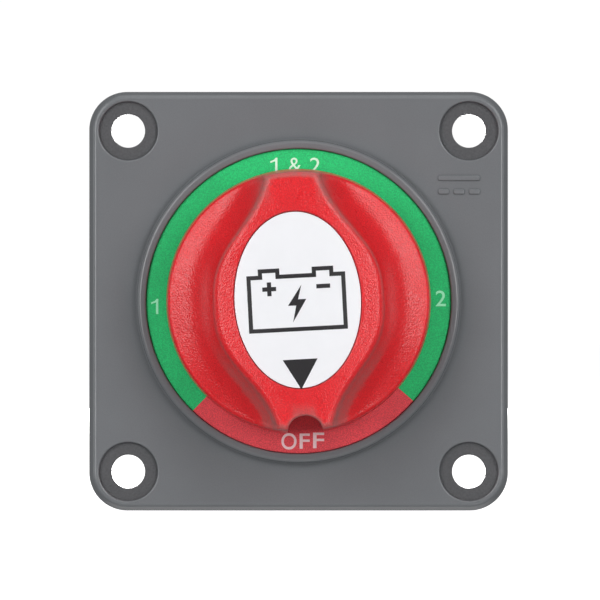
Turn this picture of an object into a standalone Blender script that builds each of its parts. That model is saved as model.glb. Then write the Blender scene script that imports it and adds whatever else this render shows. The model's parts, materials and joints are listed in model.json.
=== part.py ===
"""Rotary battery switch for panel mounting, with the positions off, 1, 1 and 2, and 2.

Every piece is modelled with x to the right, y up and z out of the panel, towards the user, with
z = 0 on the panel's surface. The empty mounting_plane turns this into the world, where the user
looks along +Y and the origin is the middle of the whole switch, on the knob's axis. The pieces
that turn with the knob hang from the empty knob_axis.
"""

import math

import bmesh
import bpy
from mathutils import Matrix, Vector

MM = 0.001
GAP = 0.3 * MM  # clearance drawn between pieces that touch on the real switch
MERGE = 0.00001
ROUND = 42  # sides of a large turned shape
SMALL_ROUND = 24  # sides of a hole, screw or stud

# Flange and its four screw holes
PLATE = 80 * MM
PLATE_THICK = 4 * MM
PLATE_CORNER = 7.25 * MM
PLATE_SIDE = ((0, 0), (0, 0.8 * MM), (0.95 * MM, 3.6 * MM), (1.3 * MM, 4 * MM))  # (inset, z) up its side
SCREW_PITCH = 65 * MM
SCREW_HOLE_R = 3.2 * MM
SCREW_SEAT_R = 5.6 * MM
SCREW_SEAT_Z = 3.2 * MM

# Housing: raised rim in front, round body behind
RIM_IN_R = 29.1 * MM
RIM_OUT_R = 31.4 * MM
RIM_Z = 6.5 * MM
BODY_R = 29.5 * MM
CAVITY_R = 25 * MM
FRONT_WALL_TOP = 4.3 * MM
FRONT_WALL_BOTTOM = 1.3 * MM
BODY_END = -20 * MM
SPINDLE_BORE_R = 8.3 * MM
COLLAR_R = 11 * MM
COLLAR_Z = -1.6 * MM

# Printed ring around the knob
LABEL_IN_R = 20.5 * MM
LABEL_OUT_R = RIM_IN_R - GAP
LABEL_Z = (FRONT_WALL_TOP + GAP, 5.8 * MM)

# Knob
KNOB_R = 25.2 * MM
KNOB_BOTTOM = 6.3 * MM
KNOB_TOP = 27.5 * MM
KNOB_EDGE = 1.0 * MM
KNOB_PLAY = math.radians(3)  # the knob sits this far round on its loose double flat
GRIP_END_W = 4.6 * MM  # half width of the grip at its two ends
GRIP_BELLY = 11.45 * MM  # and how much more it has in the middle
GRIP_REACH = 16.3 * MM
GRIP_POWER = 2.8
GRIP_CROWN_R = 65 * MM
GRIP_EDGE = 1.2 * MM
SCOOP_WIDTH = 5 * MM
SCOOP_DEPTH = 6.5 * MM
SHOULDER_Z = 18 * MM
SHOULDER_SLOPE = 0.36
NOTCH_R = 3.4 * MM
BADGE_HALF = (12.35 * MM, 16.95 * MM)
BADGE_THICK = 1.0 * MM
BADGE_SINK = 0.3 * MM
BADGE_FLOOR = 25.5 * MM
HUB_R = 12 * MM
HOLLOW_R = 20.5 * MM
HOLLOW_TOP = 14 * MM
SCREW_WELL_R = 5 * MM
SCREW_WELL_Z = 20.5 * MM
SOCKET_TOP = 17.3 * MM

# Spindle and rotor
SHAFT_R = 7.6 * MM
SHAFT_TOP = 16.9 * MM
SHAFT_FLAT = 5.6 * MM  # half width across the double flat
SHAFT_SCREW_HOLE_R = 2.35 * MM
SHAFT_SCREW_HOLE_END = 4 * MM
SEAL_Z = 2.8 * MM
SEAL_TUBE_R = 0.95 * MM
CAM_R = 15 * MM
CAM_TOP = -2 * MM
DISC_R = 19.8 * MM
DISC_TOP = -8.8 * MM
DISC_END = -13.4 * MM
PIVOT_R = 3.5 * MM
PIVOT_END = -18.2 * MM
POCKET_TOP = -9.9 * MM

# Detent: a sprung ball on each side drops into one of four notches
BALL_R = 2 * MM
BALL_Z = -5 * MM
BALL_X = CAM_R + BALL_R + 0.1 * MM
NOTCH_CUT_R = 2.4 * MM
NOTCH_DEPTH = 0.5 * MM
BALL_BORE_R = 2.35 * MM
BALL_BORE_END = 24.8 * MM
DETENT_BLOCK = (15.6 * MM, 26 * MM, 4.2 * MM, -8.4 * MM)  # inner x, outer x, half width, end

# Contacts
BRIDGE_Z = (-14.0 * MM, -12.0 * MM)
BRIDGE_HUB_R = 9 * MM
BRIDGE_HOLE_R = 4 * MM
BRIDGE_R = 17.3 * MM
BRIDGE_HALF_ANGLE = 50
PLATE_Z = (-16.3 * MM, -14.3 * MM)
COMMON_IN_R = 5 * MM
COMMON_OUT_R = 8.8 * MM
PAD_IN_R = 9.9 * MM
PAD_OUT_R = 18.4 * MM
PAD_1_ANGLES = (95, 175)
PAD_2_ANGLES = (5, 85)
COMMON_TONGUE_ANGLES = (245, 295)
RIVET_R = 2.2 * MM
RIVET_END = -14.5 * MM

# Base with its seal and screws
ISLAND_R = 20.3 * MM
ISLAND_TOP = -16.6 * MM
BASE_TOP = BODY_END - GAP
BASE_END = -26.3 * MM
BASE_SEAL_R = 27.3 * MM
BASE_SEAL_TUBE_R = 0.8 * MM
BASE_SEAL_Z = -21.1 * MM
BASE_SCREW_RADIUS = 23.8 * MM
BASE_SCREW_ANGLES = (60, 120, 240, 300)
BASE_BOSS_R = 3 * MM
BASE_SCREW_R = 1.5 * MM
BASE_SCREW_TIP = -8.5 * MM
BASE_SCREW_HEAD_R = 2.7 * MM
BASE_SCREW_HEAD_Z = (-26.1 * MM, -24.1 * MM)
RIB_END = -36 * MM
RIB_THICK = 2 * MM
RIB_ANGLES = (90, 210, 330)

# Studs and what is fitted on them
STUD_RADIUS = 13.5 * MM
STUD_ANGLES = {"common": 270, "1": 150, "2": 30}
STUD_R = 5 * MM
STUD_END = -49 * MM
STUD_CHAMFER = 1 * MM
STUD_HEAD_FLATS = 12 * MM
STUD_HEAD_END = -18.8 * MM
STUD_BOSS_R = 8 * MM
STUD_BOSS_END = -27.8 * MM
WASHER_R = 10 * MM
WASHER_THICK = 2 * MM
LOCK_R = 9 * MM
LOCK_THICK = 2.2 * MM
LOCK_SPLIT = 1.5 * MM
NUT_FLATS = 16 * MM
NUT_THICK = 8 * MM

# Coil springs
CONTACT_SPRING_R = 1.9 * MM
CONTACT_SPRING_WIRE = 0.3 * MM
CONTACT_SPRING_Z = (-11.7 * MM, -4.8 * MM)
CONTACT_SPRING_RADIUS = 11.2 * MM
CONTACT_SPRING_ANGLES = (240, 300)
SPRING_WELL_R = 2.5 * MM
SPRING_WELL_TOP = -4.5 * MM
DETENT_SPRING_R = 1.7 * MM
DETENT_SPRING_WIRE = 0.25 * MM


# ---------------------------------------------------------------- scene and materials


def clear_scene():
    for obj in list(bpy.data.objects):
        bpy.data.objects.remove(obj, do_unlink=True)


def new_collection(name):
    collection = bpy.data.collections.new(name)
    bpy.context.scene.collection.children.link(collection)
    return collection


def new_empty(name, parent=None, rotation=(0, 0, 0)):
    empty = bpy.data.objects.new(name, None)
    PARTS.objects.link(empty)
    empty.parent = parent
    empty.rotation_euler = rotation
    return empty


def new_material(name, color, roughness, metallic=0.0):
    material = bpy.data.materials.new(name)
    material.use_nodes = True
    shader = material.node_tree.nodes["Principled BSDF"]
    shader.inputs["Base Color"].default_value = (*color, 1.0)
    shader.inputs["Roughness"].default_value = roughness
    shader.inputs["Metallic"].default_value = metallic
    return material


# ---------------------------------------------------------------- shapes


def new_object(name, data, material, parent):
    obj = bpy.data.objects.new(name, data)
    PARTS.objects.link(obj)
    obj.parent = parent
    if material:
        data.materials.append(material)
    return obj


def mesh_object(name, bm, material, parent):
    """An object from a bmesh, shaded smooth apart from its edges."""
    bmesh.ops.recalc_face_normals(bm, faces=bm.faces)
    mesh = bpy.data.meshes.new(name)
    bm.to_mesh(mesh)
    bm.free()
    mesh.shade_smooth()
    mesh.set_sharp_from_angle(angle=math.radians(35))
    return new_object(name, mesh, material, parent)


def add_cylinder(bm, radius, z_low, z_high, centre=(0, 0), sides=SMALL_ROUND):
    place = Matrix.Translation((*centre, (z_low + z_high) / 2))
    bmesh.ops.create_cone(
        bm, cap_ends=True, segments=sides, radius1=radius, radius2=radius,
        depth=z_high - z_low, matrix=place,
    )


def add_cylinder_along_x(bm, radius, x_low, x_high, z, sides=SMALL_ROUND):
    place = Matrix.Translation(((x_low + x_high) / 2, 0, z)) @ Matrix.Rotation(math.pi / 2, 4, "Y")
    bmesh.ops.create_cone(
        bm, cap_ends=True, segments=sides, radius1=radius, radius2=radius,
        depth=x_high - x_low, matrix=place,
    )


def add_box(bm, low, high, turn=0.0):
    """A box between two corners, turned about the z axis."""
    low = Vector(low)
    high = Vector(high)
    size = Matrix.Diagonal((*(high - low), 1))
    place = Matrix.Translation((low + high) / 2)
    bmesh.ops.create_cube(bm, size=1, matrix=Matrix.Rotation(turn, 4, "Z") @ place @ size)


def add_hexagon(bm, flats, z_low, z_high, centre=(0, 0), turn=0.0):
    """A hexagonal prism, flats wide across its flats, with one flat facing the angle turn."""
    corner_r = flats / 2 / math.cos(math.radians(30))
    place = Matrix.Translation((*centre, (z_low + z_high) / 2))
    spin = Matrix.Rotation(turn + math.radians(30), 4, "Z")
    bmesh.ops.create_cone(
        bm, cap_ends=True, segments=6, radius1=corner_r, radius2=corner_r,
        depth=z_high - z_low, matrix=place @ spin,
    )


def turned(name, profile, material, parent, steps=ROUND, ring=False):
    """A solid of revolution about z. The profile of (radius, z) runs down the outer side."""
    mesh = bpy.data.meshes.new(name)
    points = [(radius, 0, z) for radius, z in profile]
    edges = [(i, i + 1) for i in range(len(points) - 1)]
    if ring:
        edges.append((len(points) - 1, 0))
    mesh.from_pydata(points, edges, [])
    obj = new_object(name, mesh, material, parent)
    screw = obj.modifiers.new("turn", "SCREW")
    screw.steps = steps
    screw.render_steps = steps
    screw.use_merge_vertices = True
    screw.merge_threshold = MERGE
    return obj


def prism(name, outlines, z_low, z_high, material, parent):
    """A flat piece from closed outlines of (x, y) points. Outlines inside the first are holes."""
    curve = bpy.data.curves.new(name, "CURVE")
    curve.dimensions = "2D"
    curve.fill_mode = "BOTH"
    curve.extrude = (z_high - z_low) / 2
    for outline in outlines:
        spline = curve.splines.new("POLY")
        spline.points.add(len(outline) - 1)
        for point, (x, y) in zip(spline.points, outline):
            point.co = (x, y, 0, 1)
        spline.use_cyclic_u = True
    obj = new_object(name, curve, material, parent)
    obj.location.z = (z_low + z_high) / 2
    return obj


def as_mesh(curve_obj):
    """The curve's solid as a mesh object with its caps welded, in the same place."""
    bpy.context.view_layer.update()
    graph = bpy.context.evaluated_depsgraph_get()
    mesh = bpy.data.meshes.new_from_object(curve_obj.evaluated_get(graph))
    bm = bmesh.new()
    bm.from_mesh(mesh)
    bmesh.ops.remove_doubles(bm, verts=bm.verts, dist=MERGE)
    bm.to_mesh(mesh)
    bm.free()
    name = curve_obj.name
    place = curve_obj.matrix_world.copy()
    parent = curve_obj.parent
    bpy.data.objects.remove(curve_obj, do_unlink=True)
    obj = bpy.data.objects.new(name, mesh)
    PARTS.objects.link(obj)
    obj.parent = parent
    obj.matrix_world = place
    return obj


def boolean(target, helper, operation):
    """Cuts the helper from the target, or joins it on, and puts the helper away."""
    modifier = target.modifiers.new(helper.name, "BOOLEAN")
    modifier.object = helper
    modifier.operation = operation
    modifier.solver = "EXACT"
    for collection in list(helper.users_collection):
        collection.objects.unlink(helper)
    HELPERS.objects.link(helper)
    helper.hide_render = True
    helper.display_type = "WIRE"


def arc(radius, start, end, steps):
    """Points on an arc about the origin, between two angles in degrees."""
    turns = [math.radians(start + (end - start) * i / steps) for i in range(steps + 1)]
    return [(radius * math.cos(t), radius * math.sin(t)) for t in turns]


def circle(radius, centre=(0, 0), sides=SMALL_ROUND):
    points = arc(radius, 0, 360, sides)[:-1]
    return [(x + centre[0], y + centre[1]) for x, y in points]


def on_circle(radius, angle):
    """The point at this radius and angle in degrees."""
    return (radius * math.cos(math.radians(angle)), radius * math.sin(math.radians(angle)))


def coil(name, radius, wire_r, length, turns, material, parent):
    """A compression spring along +z from the origin."""
    per_turn = 8
    curve = bpy.data.curves.new(name, "CURVE")
    curve.dimensions = "3D"
    curve.bevel_depth = wire_r
    curve.bevel_resolution = 1
    curve.use_fill_caps = True
    spline = curve.splines.new("POLY")
    count = turns * per_turn
    spline.points.add(count)
    rise = length - 2 * wire_r
    for i, point in enumerate(spline.points):
        angle = 2 * math.pi * i / per_turn
        z = wire_r + rise * i / count
        point.co = (radius * math.cos(angle), radius * math.sin(angle), z, 1)
    return new_object(name, curve, material, parent)


# ---------------------------------------------------------------- housing, label ring and base


def housing_core():
    """The turned middle of the housing: rim, front wall with its collar, and round body."""
    lip = 0.5 * MM
    profile = [
        (RIM_OUT_R - 2 * lip, RIM_Z),
        (RIM_OUT_R - lip, RIM_Z - lip),
        (RIM_OUT_R, PLATE_THICK - lip),
        (RIM_OUT_R, PLATE_THICK / 2),
        (BODY_R, PLATE_THICK / 4),
        (BODY_R, BODY_END),
        (CAVITY_R, BODY_END),
        (CAVITY_R, FRONT_WALL_BOTTOM),
        (COLLAR_R, FRONT_WALL_BOTTOM),
        (COLLAR_R, COLLAR_Z),
        (SPINDLE_BORE_R, COLLAR_Z),
        (SPINDLE_BORE_R, FRONT_WALL_TOP),
        (RIM_IN_R, FRONT_WALL_TOP),
        (RIM_IN_R, RIM_Z - lip),
        (RIM_IN_R + lip / 2, RIM_Z),
    ]
    return turned("housing_core", profile, None, SWITCH, ring=True)


def plate_outline(inset, z, steps=8):
    """The plate's outline with its rounded corners, moved in by the inset."""
    middle = PLATE / 2 - PLATE_CORNER
    points = []
    for quarter, (side_x, side_y) in enumerate(((1, 1), (-1, 1), (-1, -1), (1, -1))):
        for k in range(steps + 1):
            x, y = on_circle(PLATE_CORNER - inset, 90 * (quarter + k / steps))
            points.append((side_x * middle + x, side_y * middle + y, z))
    return points


def housing_flange():
    """The square plate, whose side slopes in to a small bevel round its front."""
    bm = bmesh.new()
    rows = [[bm.verts.new(point) for point in plate_outline(inset, z)] for inset, z in PLATE_SIDE]
    bm.faces.new(rows[0])
    bm.faces.new(rows[-1])
    for low, high in zip(rows, rows[1:]):
        for i in range(len(low)):
            j = (i + 1) % len(low)
            bm.faces.new((low[i], low[j], high[j], high[i]))
    return mesh_object("housing", bm, GREY_PLASTIC, SWITCH)


def flange_corners():
    half = SCREW_PITCH / 2
    return [(x, y) for x in (-half, half) for y in (-half, half)]


def housing_additions():
    """Blocks that hold the detent balls, and bosses for the base's screws."""
    inner, outer, half_width, end = DETENT_BLOCK
    top = FRONT_WALL_BOTTOM + 0.5 * MM
    bm = bmesh.new()
    for turn in (0, math.pi):
        add_box(bm, (inner, -half_width, end), (outer, half_width, top), turn)
    for angle in BASE_SCREW_ANGLES:
        add_cylinder(bm, BASE_BOSS_R, BODY_END, top, on_circle(BASE_SCREW_RADIUS, angle))
    return mesh_object("housing_additions", bm, None, SWITCH)


def housing_holes():
    bm = bmesh.new()
    for centre in flange_corners():
        add_cylinder(bm, SCREW_HOLE_R, -1 * MM, SCREW_SEAT_Z + 1 * MM, centre)
    for x_low, x_high in ((14 * MM, BALL_BORE_END), (-BALL_BORE_END, -14 * MM)):
        add_cylinder_along_x(bm, BALL_BORE_R, x_low, x_high, BALL_Z)
    for angle in BASE_SCREW_ANGLES:
        centre = on_circle(BASE_SCREW_RADIUS, angle)
        add_cylinder(bm, BASE_SCREW_R + GAP, BODY_END - 1 * MM, BASE_SCREW_TIP + GAP, centre)
    return mesh_object("housing_holes", bm, None, SWITCH)


def housing_seats():
    bm = bmesh.new()
    for centre in flange_corners():
        add_cylinder(bm, SCREW_SEAT_R, SCREW_SEAT_Z, PLATE_THICK + 1 * MM, centre, sides=32)
    return mesh_object("housing_seats", bm, None, SWITCH)


def flange_middle():
    bm = bmesh.new()
    add_cylinder(bm, BODY_R - 1 * MM, -1 * MM, PLATE_THICK + 1 * MM, sides=ROUND)
    return mesh_object("flange_middle", bm, None, SWITCH)


def make_housing():
    housing = housing_flange()
    boolean(housing, flange_middle(), "DIFFERENCE")
    boolean(housing, housing_core(), "UNION")
    boolean(housing, housing_additions(), "UNION")
    boolean(housing, housing_holes(), "DIFFERENCE")
    boolean(housing, housing_seats(), "DIFFERENCE")


def make_dial_label():
    low, high = LABEL_Z
    profile = [(LABEL_OUT_R, high), (LABEL_OUT_R, low), (LABEL_IN_R, low), (LABEL_IN_R, high)]
    turned("dial_label", profile, LABEL_INK, SWITCH, ring=True)


def base_disc():
    """The base's flange with a groove for its seal, and an island that carries the contacts."""
    groove = BASE_SEAL_TUBE_R + GAP + 0.05 * MM
    floor = BASE_SEAL_Z - groove
    pivot = PIVOT_R + 0.4 * MM
    pivot_end = PIVOT_END - 0.7 * MM
    profile = [
        (0, pivot_end),
        (pivot, pivot_end),
        (pivot, ISLAND_TOP),
        (ISLAND_R, ISLAND_TOP),
        (ISLAND_R, BASE_TOP),
        (BASE_SEAL_R - groove, BASE_TOP),
        (BASE_SEAL_R - groove, floor),
        (BASE_SEAL_R + groove, floor),
        (BASE_SEAL_R + groove, BASE_TOP),
        (BODY_R, BASE_TOP),
        (BODY_R, BASE_END),
        (0, BASE_END),
    ]
    return turned("base", profile, BLACK_PLASTIC, SWITCH)


def base_additions():
    """A low boss under each stud's washer."""
    bm = bmesh.new()
    for angle in STUD_ANGLES.values():
        centre = on_circle(STUD_RADIUS, angle)
        add_cylinder(bm, STUD_BOSS_R, STUD_BOSS_END, BASE_END + 1 * MM, centre, sides=32)
    return mesh_object("base_additions", bm, None, SWITCH)


def barrier_ribs():
    """Three walls that meet in the middle and keep the cable lugs apart."""
    half = RIB_THICK / 2
    reach = BODY_R - 1.5 * MM
    outline = []
    for angle in RIB_ANGLES:
        along = Vector(on_circle(1, angle))
        across = Vector((-along.y, along.x))
        root = along * half / math.tan(math.radians(60))
        outline += [along * reach - across * half, along * reach + across * half, root + across * half]
    shape = prism("barrier_ribs", [outline], RIB_END, BASE_END + 1 * MM, None, SWITCH)
    return as_mesh(shape)


def base_holes():
    bm = bmesh.new()
    for angle in STUD_ANGLES.values():
        centre = on_circle(STUD_RADIUS, angle)
        add_cylinder(bm, STUD_R + GAP + 0.05 * MM, STUD_BOSS_END - 1 * MM, STUD_HEAD_END, centre)
    for angle in BASE_SCREW_ANGLES:
        centre = on_circle(BASE_SCREW_RADIUS, angle)
        add_cylinder(bm, BASE_SCREW_R + GAP, BASE_SCREW_HEAD_Z[1], BASE_TOP + 1 * MM, centre)
    return mesh_object("base_holes", bm, None, SWITCH)


def base_recesses():
    """A hexagonal seat for each stud's head, and a round well for each screw's head."""
    bm = bmesh.new()
    for angle in STUD_ANGLES.values():
        centre = on_circle(STUD_RADIUS, angle)
        flats = STUD_HEAD_FLATS + 2 * GAP + 0.1 * MM
        floor = STUD_HEAD_END - GAP
        add_hexagon(bm, flats, floor, ISLAND_TOP + 1 * MM, centre, math.radians(angle))
    for angle in BASE_SCREW_ANGLES:
        centre = on_circle(BASE_SCREW_RADIUS, angle)
        well_floor = BASE_SCREW_HEAD_Z[1] + GAP
        add_cylinder(bm, BASE_SCREW_HEAD_R + 0.35 * MM, BASE_END - 1 * MM, well_floor, centre)
    return mesh_object("base_recesses", bm, None, SWITCH)


def make_base():
    base = base_disc()
    boolean(base, base_additions(), "UNION")
    boolean(base, barrier_ribs(), "UNION")
    boolean(base, base_holes(), "DIFFERENCE")
    boolean(base, base_recesses(), "DIFFERENCE")


def make_seal(name, radius, tube_r, z, parent):
    profile = [(radius + x, z + y) for x, y in arc(tube_r, 90, -270, 6)[:-1]]
    turned(name, profile, BLACK_RUBBER, parent, steps=SMALL_ROUND, ring=True)


# ---------------------------------------------------------------- screws, studs and their hardware


def slot_cutter(name, width, length, z_low, z_high, parent):
    bm = bmesh.new()
    add_box(bm, (-length / 2, -width / 2, z_low), (length / 2, width / 2, z_high))
    return mesh_object(name, bm, None, parent)


def pan_screw(name, shank_r, shank_length, head_r, head_height, material, parent):
    """A slotted pan head screw. Its seat is at z = 0 and its head is above that."""
    point = shank_r / 2
    profile = [
        (0, head_height),
        (head_r * 0.7, head_height),
        (head_r, head_height * 0.6),
        (head_r, 0),
        (shank_r, 0),
        (shank_r, -shank_length + point),
        (shank_r - point, -shank_length),
        (0, -shank_length),
    ]
    screw = turned(name, profile, material, parent, steps=12)
    slot = slot_cutter(
        name + "_slot", head_r * 0.3, head_r * 3, head_height * 0.6, head_height * 1.5, parent
    )
    boolean(screw, slot, "DIFFERENCE")
    return screw, slot


def make_base_screws():
    low, seat = BASE_SCREW_HEAD_Z
    length = BASE_SCREW_TIP - seat
    for number, angle in enumerate(BASE_SCREW_ANGLES, start=1):
        pieces = pan_screw(
            f"base_screw_{number}", BASE_SCREW_R, length, BASE_SCREW_HEAD_R, seat - low, STEEL, SWITCH
        )
        for piece in pieces:
            piece.location = (*on_circle(BASE_SCREW_RADIUS, angle), seat)
            piece.rotation_euler.x = math.pi


def make_stud(name, angle):
    """A stud with a hexagonal head, riveted through its contact plate."""
    centre = on_circle(STUD_RADIUS, angle)
    profile = [
        (0, RIVET_END),
        (RIVET_R, RIVET_END),
        (RIVET_R, ISLAND_TOP - 1 * MM),
        (STUD_R, ISLAND_TOP - 1 * MM),
        (STUD_R, STUD_END + STUD_CHAMFER),
        (STUD_R - STUD_CHAMFER, STUD_END),
        (0, STUD_END),
    ]
    bm = bmesh.new()
    add_hexagon(bm, STUD_HEAD_FLATS, STUD_HEAD_END, ISLAND_TOP, centre, math.radians(angle))
    stud = mesh_object(name, bm, TIN_PLATE, SWITCH)
    shaft = turned(name + "_shaft", profile, None, SWITCH, steps=SMALL_ROUND)
    shaft.location = (*centre, 0)
    boolean(stud, shaft, "UNION")


def washer_profile(outer_r, z_low, z_high):
    hole_r = STUD_R + GAP + 0.05 * MM
    return [(outer_r, z_high), (outer_r, z_low), (hole_r, z_low), (hole_r, z_high)]


def make_flat_washer(name, centre, top):
    profile = washer_profile(WASHER_R, top - WASHER_THICK, top)
    washer = turned(name, profile, STEEL, SWITCH, steps=SMALL_ROUND, ring=True)
    washer.location = (*centre, 0)


def make_lock_washer(name, centre, top):
    """A spring washer: a ring with a slanting split."""
    profile = washer_profile(LOCK_R, top - LOCK_THICK, top)
    washer = turned(name, profile, STEEL, SWITCH, steps=SMALL_ROUND, ring=True)
    washer.location = (*centre, 0)
    bm = bmesh.new()
    add_box(bm, (0, -LOCK_SPLIT / 2, -2 * LOCK_THICK), (2 * LOCK_R, LOCK_SPLIT / 2, 2 * LOCK_THICK))
    split = mesh_object(name + "_split", bm, None, SWITCH)
    split.location = (*centre, top - LOCK_THICK / 2)
    split.rotation_euler.x = math.radians(30)
    boolean(washer, split, "DIFFERENCE")


def make_nut(name, centre, top, angle):
    bm = bmesh.new()
    add_hexagon(bm, NUT_FLATS, top - NUT_THICK, top, centre, math.radians(angle))
    nut = mesh_object(name, bm, STEEL, SWITCH)
    bm = bmesh.new()
    add_cylinder(bm, STUD_R + GAP + 0.05 * MM, top - 2 * NUT_THICK, top + NUT_THICK, centre)
    boolean(nut, mesh_object(name + "_hole", bm, None, SWITCH), "DIFFERENCE")


def make_terminals():
    washer_top = STUD_BOSS_END - GAP
    lock_top = washer_top - WASHER_THICK - GAP
    nut_top = lock_top - LOCK_THICK - GAP
    for name, angle in STUD_ANGLES.items():
        centre = on_circle(STUD_RADIUS, angle)
        make_stud("terminal_stud_" + name, angle)
        make_flat_washer("flat_washer_" + name, centre, washer_top)
        make_lock_washer("lock_washer_" + name, centre, lock_top)
        make_nut("terminal_nut_" + name, centre, nut_top, angle)


# ---------------------------------------------------------------- contacts


def sector(inner_r, outer_r, start, end):
    return arc(outer_r, start, end, 16) + arc(inner_r, end, start, 12)


def rivet_hole(angle):
    return circle(RIVET_R + GAP, on_circle(STUD_RADIUS, angle), sides=16)


def hub_and_sector(hub_r, outer_r, start, end):
    """The outline of a round hub with one sector standing out of it."""
    return arc(outer_r, start, end, 16) + arc(hub_r, end, start + 360, 28)


def make_contact_plates():
    low, high = PLATE_Z
    for name, angles in (("1", PAD_1_ANGLES), ("2", PAD_2_ANGLES)):
        outlines = [sector(PAD_IN_R, PAD_OUT_R, *angles), rivet_hole(STUD_ANGLES[name])]
        prism("contact_plate_" + name, outlines, low, high, COPPER, SWITCH)
    outlines = [
        hub_and_sector(COMMON_OUT_R, PAD_OUT_R, *COMMON_TONGUE_ANGLES),
        circle(COMMON_IN_R),
        rivet_hole(STUD_ANGLES["common"]),
    ]
    prism("contact_plate_common", outlines, low, high, COPPER, SWITCH)


def make_contact_bridge():
    """The sprung copper piece that joins the common plate to the plate it is turned to."""
    start = 270 - BRIDGE_HALF_ANGLE
    end = 270 + BRIDGE_HALF_ANGLE
    outlines = [hub_and_sector(BRIDGE_HUB_R, BRIDGE_R, start, end), circle(BRIDGE_HOLE_R)]
    prism("contact_bridge", outlines, *BRIDGE_Z, COPPER, KNOB_AXIS)


def make_contact_springs():
    low, high = CONTACT_SPRING_Z
    for number, angle in enumerate(CONTACT_SPRING_ANGLES, start=1):
        name = f"contact_spring_{number}"
        spring = coil(
            name, CONTACT_SPRING_R, CONTACT_SPRING_WIRE, high - low, 4, SPRING_STEEL, KNOB_AXIS
        )
        spring.location = (*on_circle(CONTACT_SPRING_RADIUS, angle), low)


# ---------------------------------------------------------------- rotor and detent


def rotor_core():
    """Shaft with its seal groove and screw hole, detent cam, contact disc and rear pivot."""
    groove_half = SEAL_TUBE_R + GAP + 0.05 * MM
    groove_r = SHAFT_R - 2 * MM
    profile = [
        (0, SHAFT_SCREW_HOLE_END),
        (SHAFT_SCREW_HOLE_R, SHAFT_SCREW_HOLE_END),
        (SHAFT_SCREW_HOLE_R, SHAFT_TOP),
        (SHAFT_R, SHAFT_TOP),
        (SHAFT_R, SEAL_Z + groove_half),
        (groove_r, SEAL_Z + groove_half),
        (groove_r, SEAL_Z - groove_half),
        (SHAFT_R, SEAL_Z - groove_half),
        (SHAFT_R, CAM_TOP),
        (CAM_R, CAM_TOP),
        (CAM_R, DISC_TOP),
        (DISC_R, DISC_TOP),
        (DISC_R, DISC_END),
        (PIVOT_R, DISC_END),
        (PIVOT_R, PIVOT_END),
        (0, PIVOT_END),
    ]
    return turned("rotor", profile, BLACK_PLASTIC, KNOB_AXIS)


def rotor_notches():
    bm = bmesh.new()
    radius = CAM_R - NOTCH_DEPTH + NOTCH_CUT_R
    for angle in (0, 90, 180, 270):
        centre = on_circle(radius, angle)
        add_cylinder(bm, NOTCH_CUT_R, DISC_TOP, CAM_TOP + 1 * MM, centre, sides=32)
    return mesh_object("rotor_notches", bm, None, KNOB_AXIS)


def shaft_flats():
    bm = bmesh.new()
    reach = 2 * SHAFT_R
    for side in (-1, 1):
        y_low, y_high = sorted((side * SHAFT_FLAT, side * reach))
        add_box(bm, (-reach, y_low, KNOB_BOTTOM), (reach, y_high, SHAFT_TOP + 1 * MM))
    return mesh_object("shaft_flats", bm, None, KNOB_AXIS)


def bridge_pocket():
    """The recess that turns the contact bridge and lets it slide."""
    play = 0.4 * MM
    turn = 1.5
    start = 270 - BRIDGE_HALF_ANGLE - turn
    end = 270 + BRIDGE_HALF_ANGLE + turn
    post = circle(BRIDGE_HOLE_R - GAP)
    outlines = [hub_and_sector(BRIDGE_HUB_R + play, BRIDGE_R + play, start, end), post]
    shape = prism("bridge_pocket", outlines, DISC_END - 1 * MM, POCKET_TOP, None, KNOB_AXIS)
    return as_mesh(shape)


def spring_wells():
    bm = bmesh.new()
    for angle in CONTACT_SPRING_ANGLES:
        centre = on_circle(CONTACT_SPRING_RADIUS, angle)
        add_cylinder(bm, SPRING_WELL_R, POCKET_TOP - 0.5 * MM, SPRING_WELL_TOP, centre, sides=16)
    return mesh_object("spring_wells", bm, None, KNOB_AXIS)


def make_rotor():
    rotor = rotor_core()
    boolean(rotor, rotor_notches(), "DIFFERENCE")
    boolean(rotor, shaft_flats(), "DIFFERENCE")
    boolean(rotor, bridge_pocket(), "DIFFERENCE")
    boolean(rotor, spring_wells(), "DIFFERENCE")


def make_detents():
    spring_start = BALL_X + BALL_R + GAP
    length = BALL_BORE_END - GAP - spring_start
    for number, side in ((1, 1), (2, -1)):
        bm = bmesh.new()
        bmesh.ops.create_uvsphere(bm, u_segments=12, v_segments=6, radius=BALL_R)
        ball = mesh_object(f"detent_ball_{number}", bm, STEEL, SWITCH)
        ball.location = (side * BALL_X, 0, BALL_Z)
        name = f"detent_spring_{number}"
        spring = coil(name, DETENT_SPRING_R, DETENT_SPRING_WIRE, length, 4, SPRING_STEEL, SWITCH)
        spring.location = (side * spring_start, 0, BALL_Z)
        spring.rotation_euler.y = side * math.pi / 2


# ---------------------------------------------------------------- knob


def grip_half_width(v):
    """Half width of the raised grip at the distance v along it from the axis."""
    return GRIP_END_W + GRIP_BELLY * math.exp(-((abs(v) / GRIP_REACH) ** GRIP_POWER))


def grip_top(u):
    """Height of the grip's crowned top at the distance u from its middle line."""
    return KNOB_TOP - u * u / (2 * GRIP_CROWN_R)


def knob_height(u, v):
    """Height of the knob's front at a point, before its outer edge is rounded."""
    width = grip_half_width(v)
    step = 0.1 * MM
    slope = (grip_half_width(abs(v) + step) - width) / step
    outside = (abs(u) - width) / math.hypot(1, slope)
    if outside < 0:
        rounding = max(0.0, 1 + outside / GRIP_EDGE)
        return grip_top(u) - GRIP_EDGE * (1 - math.sqrt(1 - rounding * rounding * 0.75))
    into = min(1.0, outside / SCOOP_WIDTH)
    wall = SCOOP_DEPTH * (1 - math.sqrt(1 - (1 - into) ** 2))
    return SHOULDER_Z + wall - SHOULDER_SLOPE * (outside - SCOOP_WIDTH)


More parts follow.
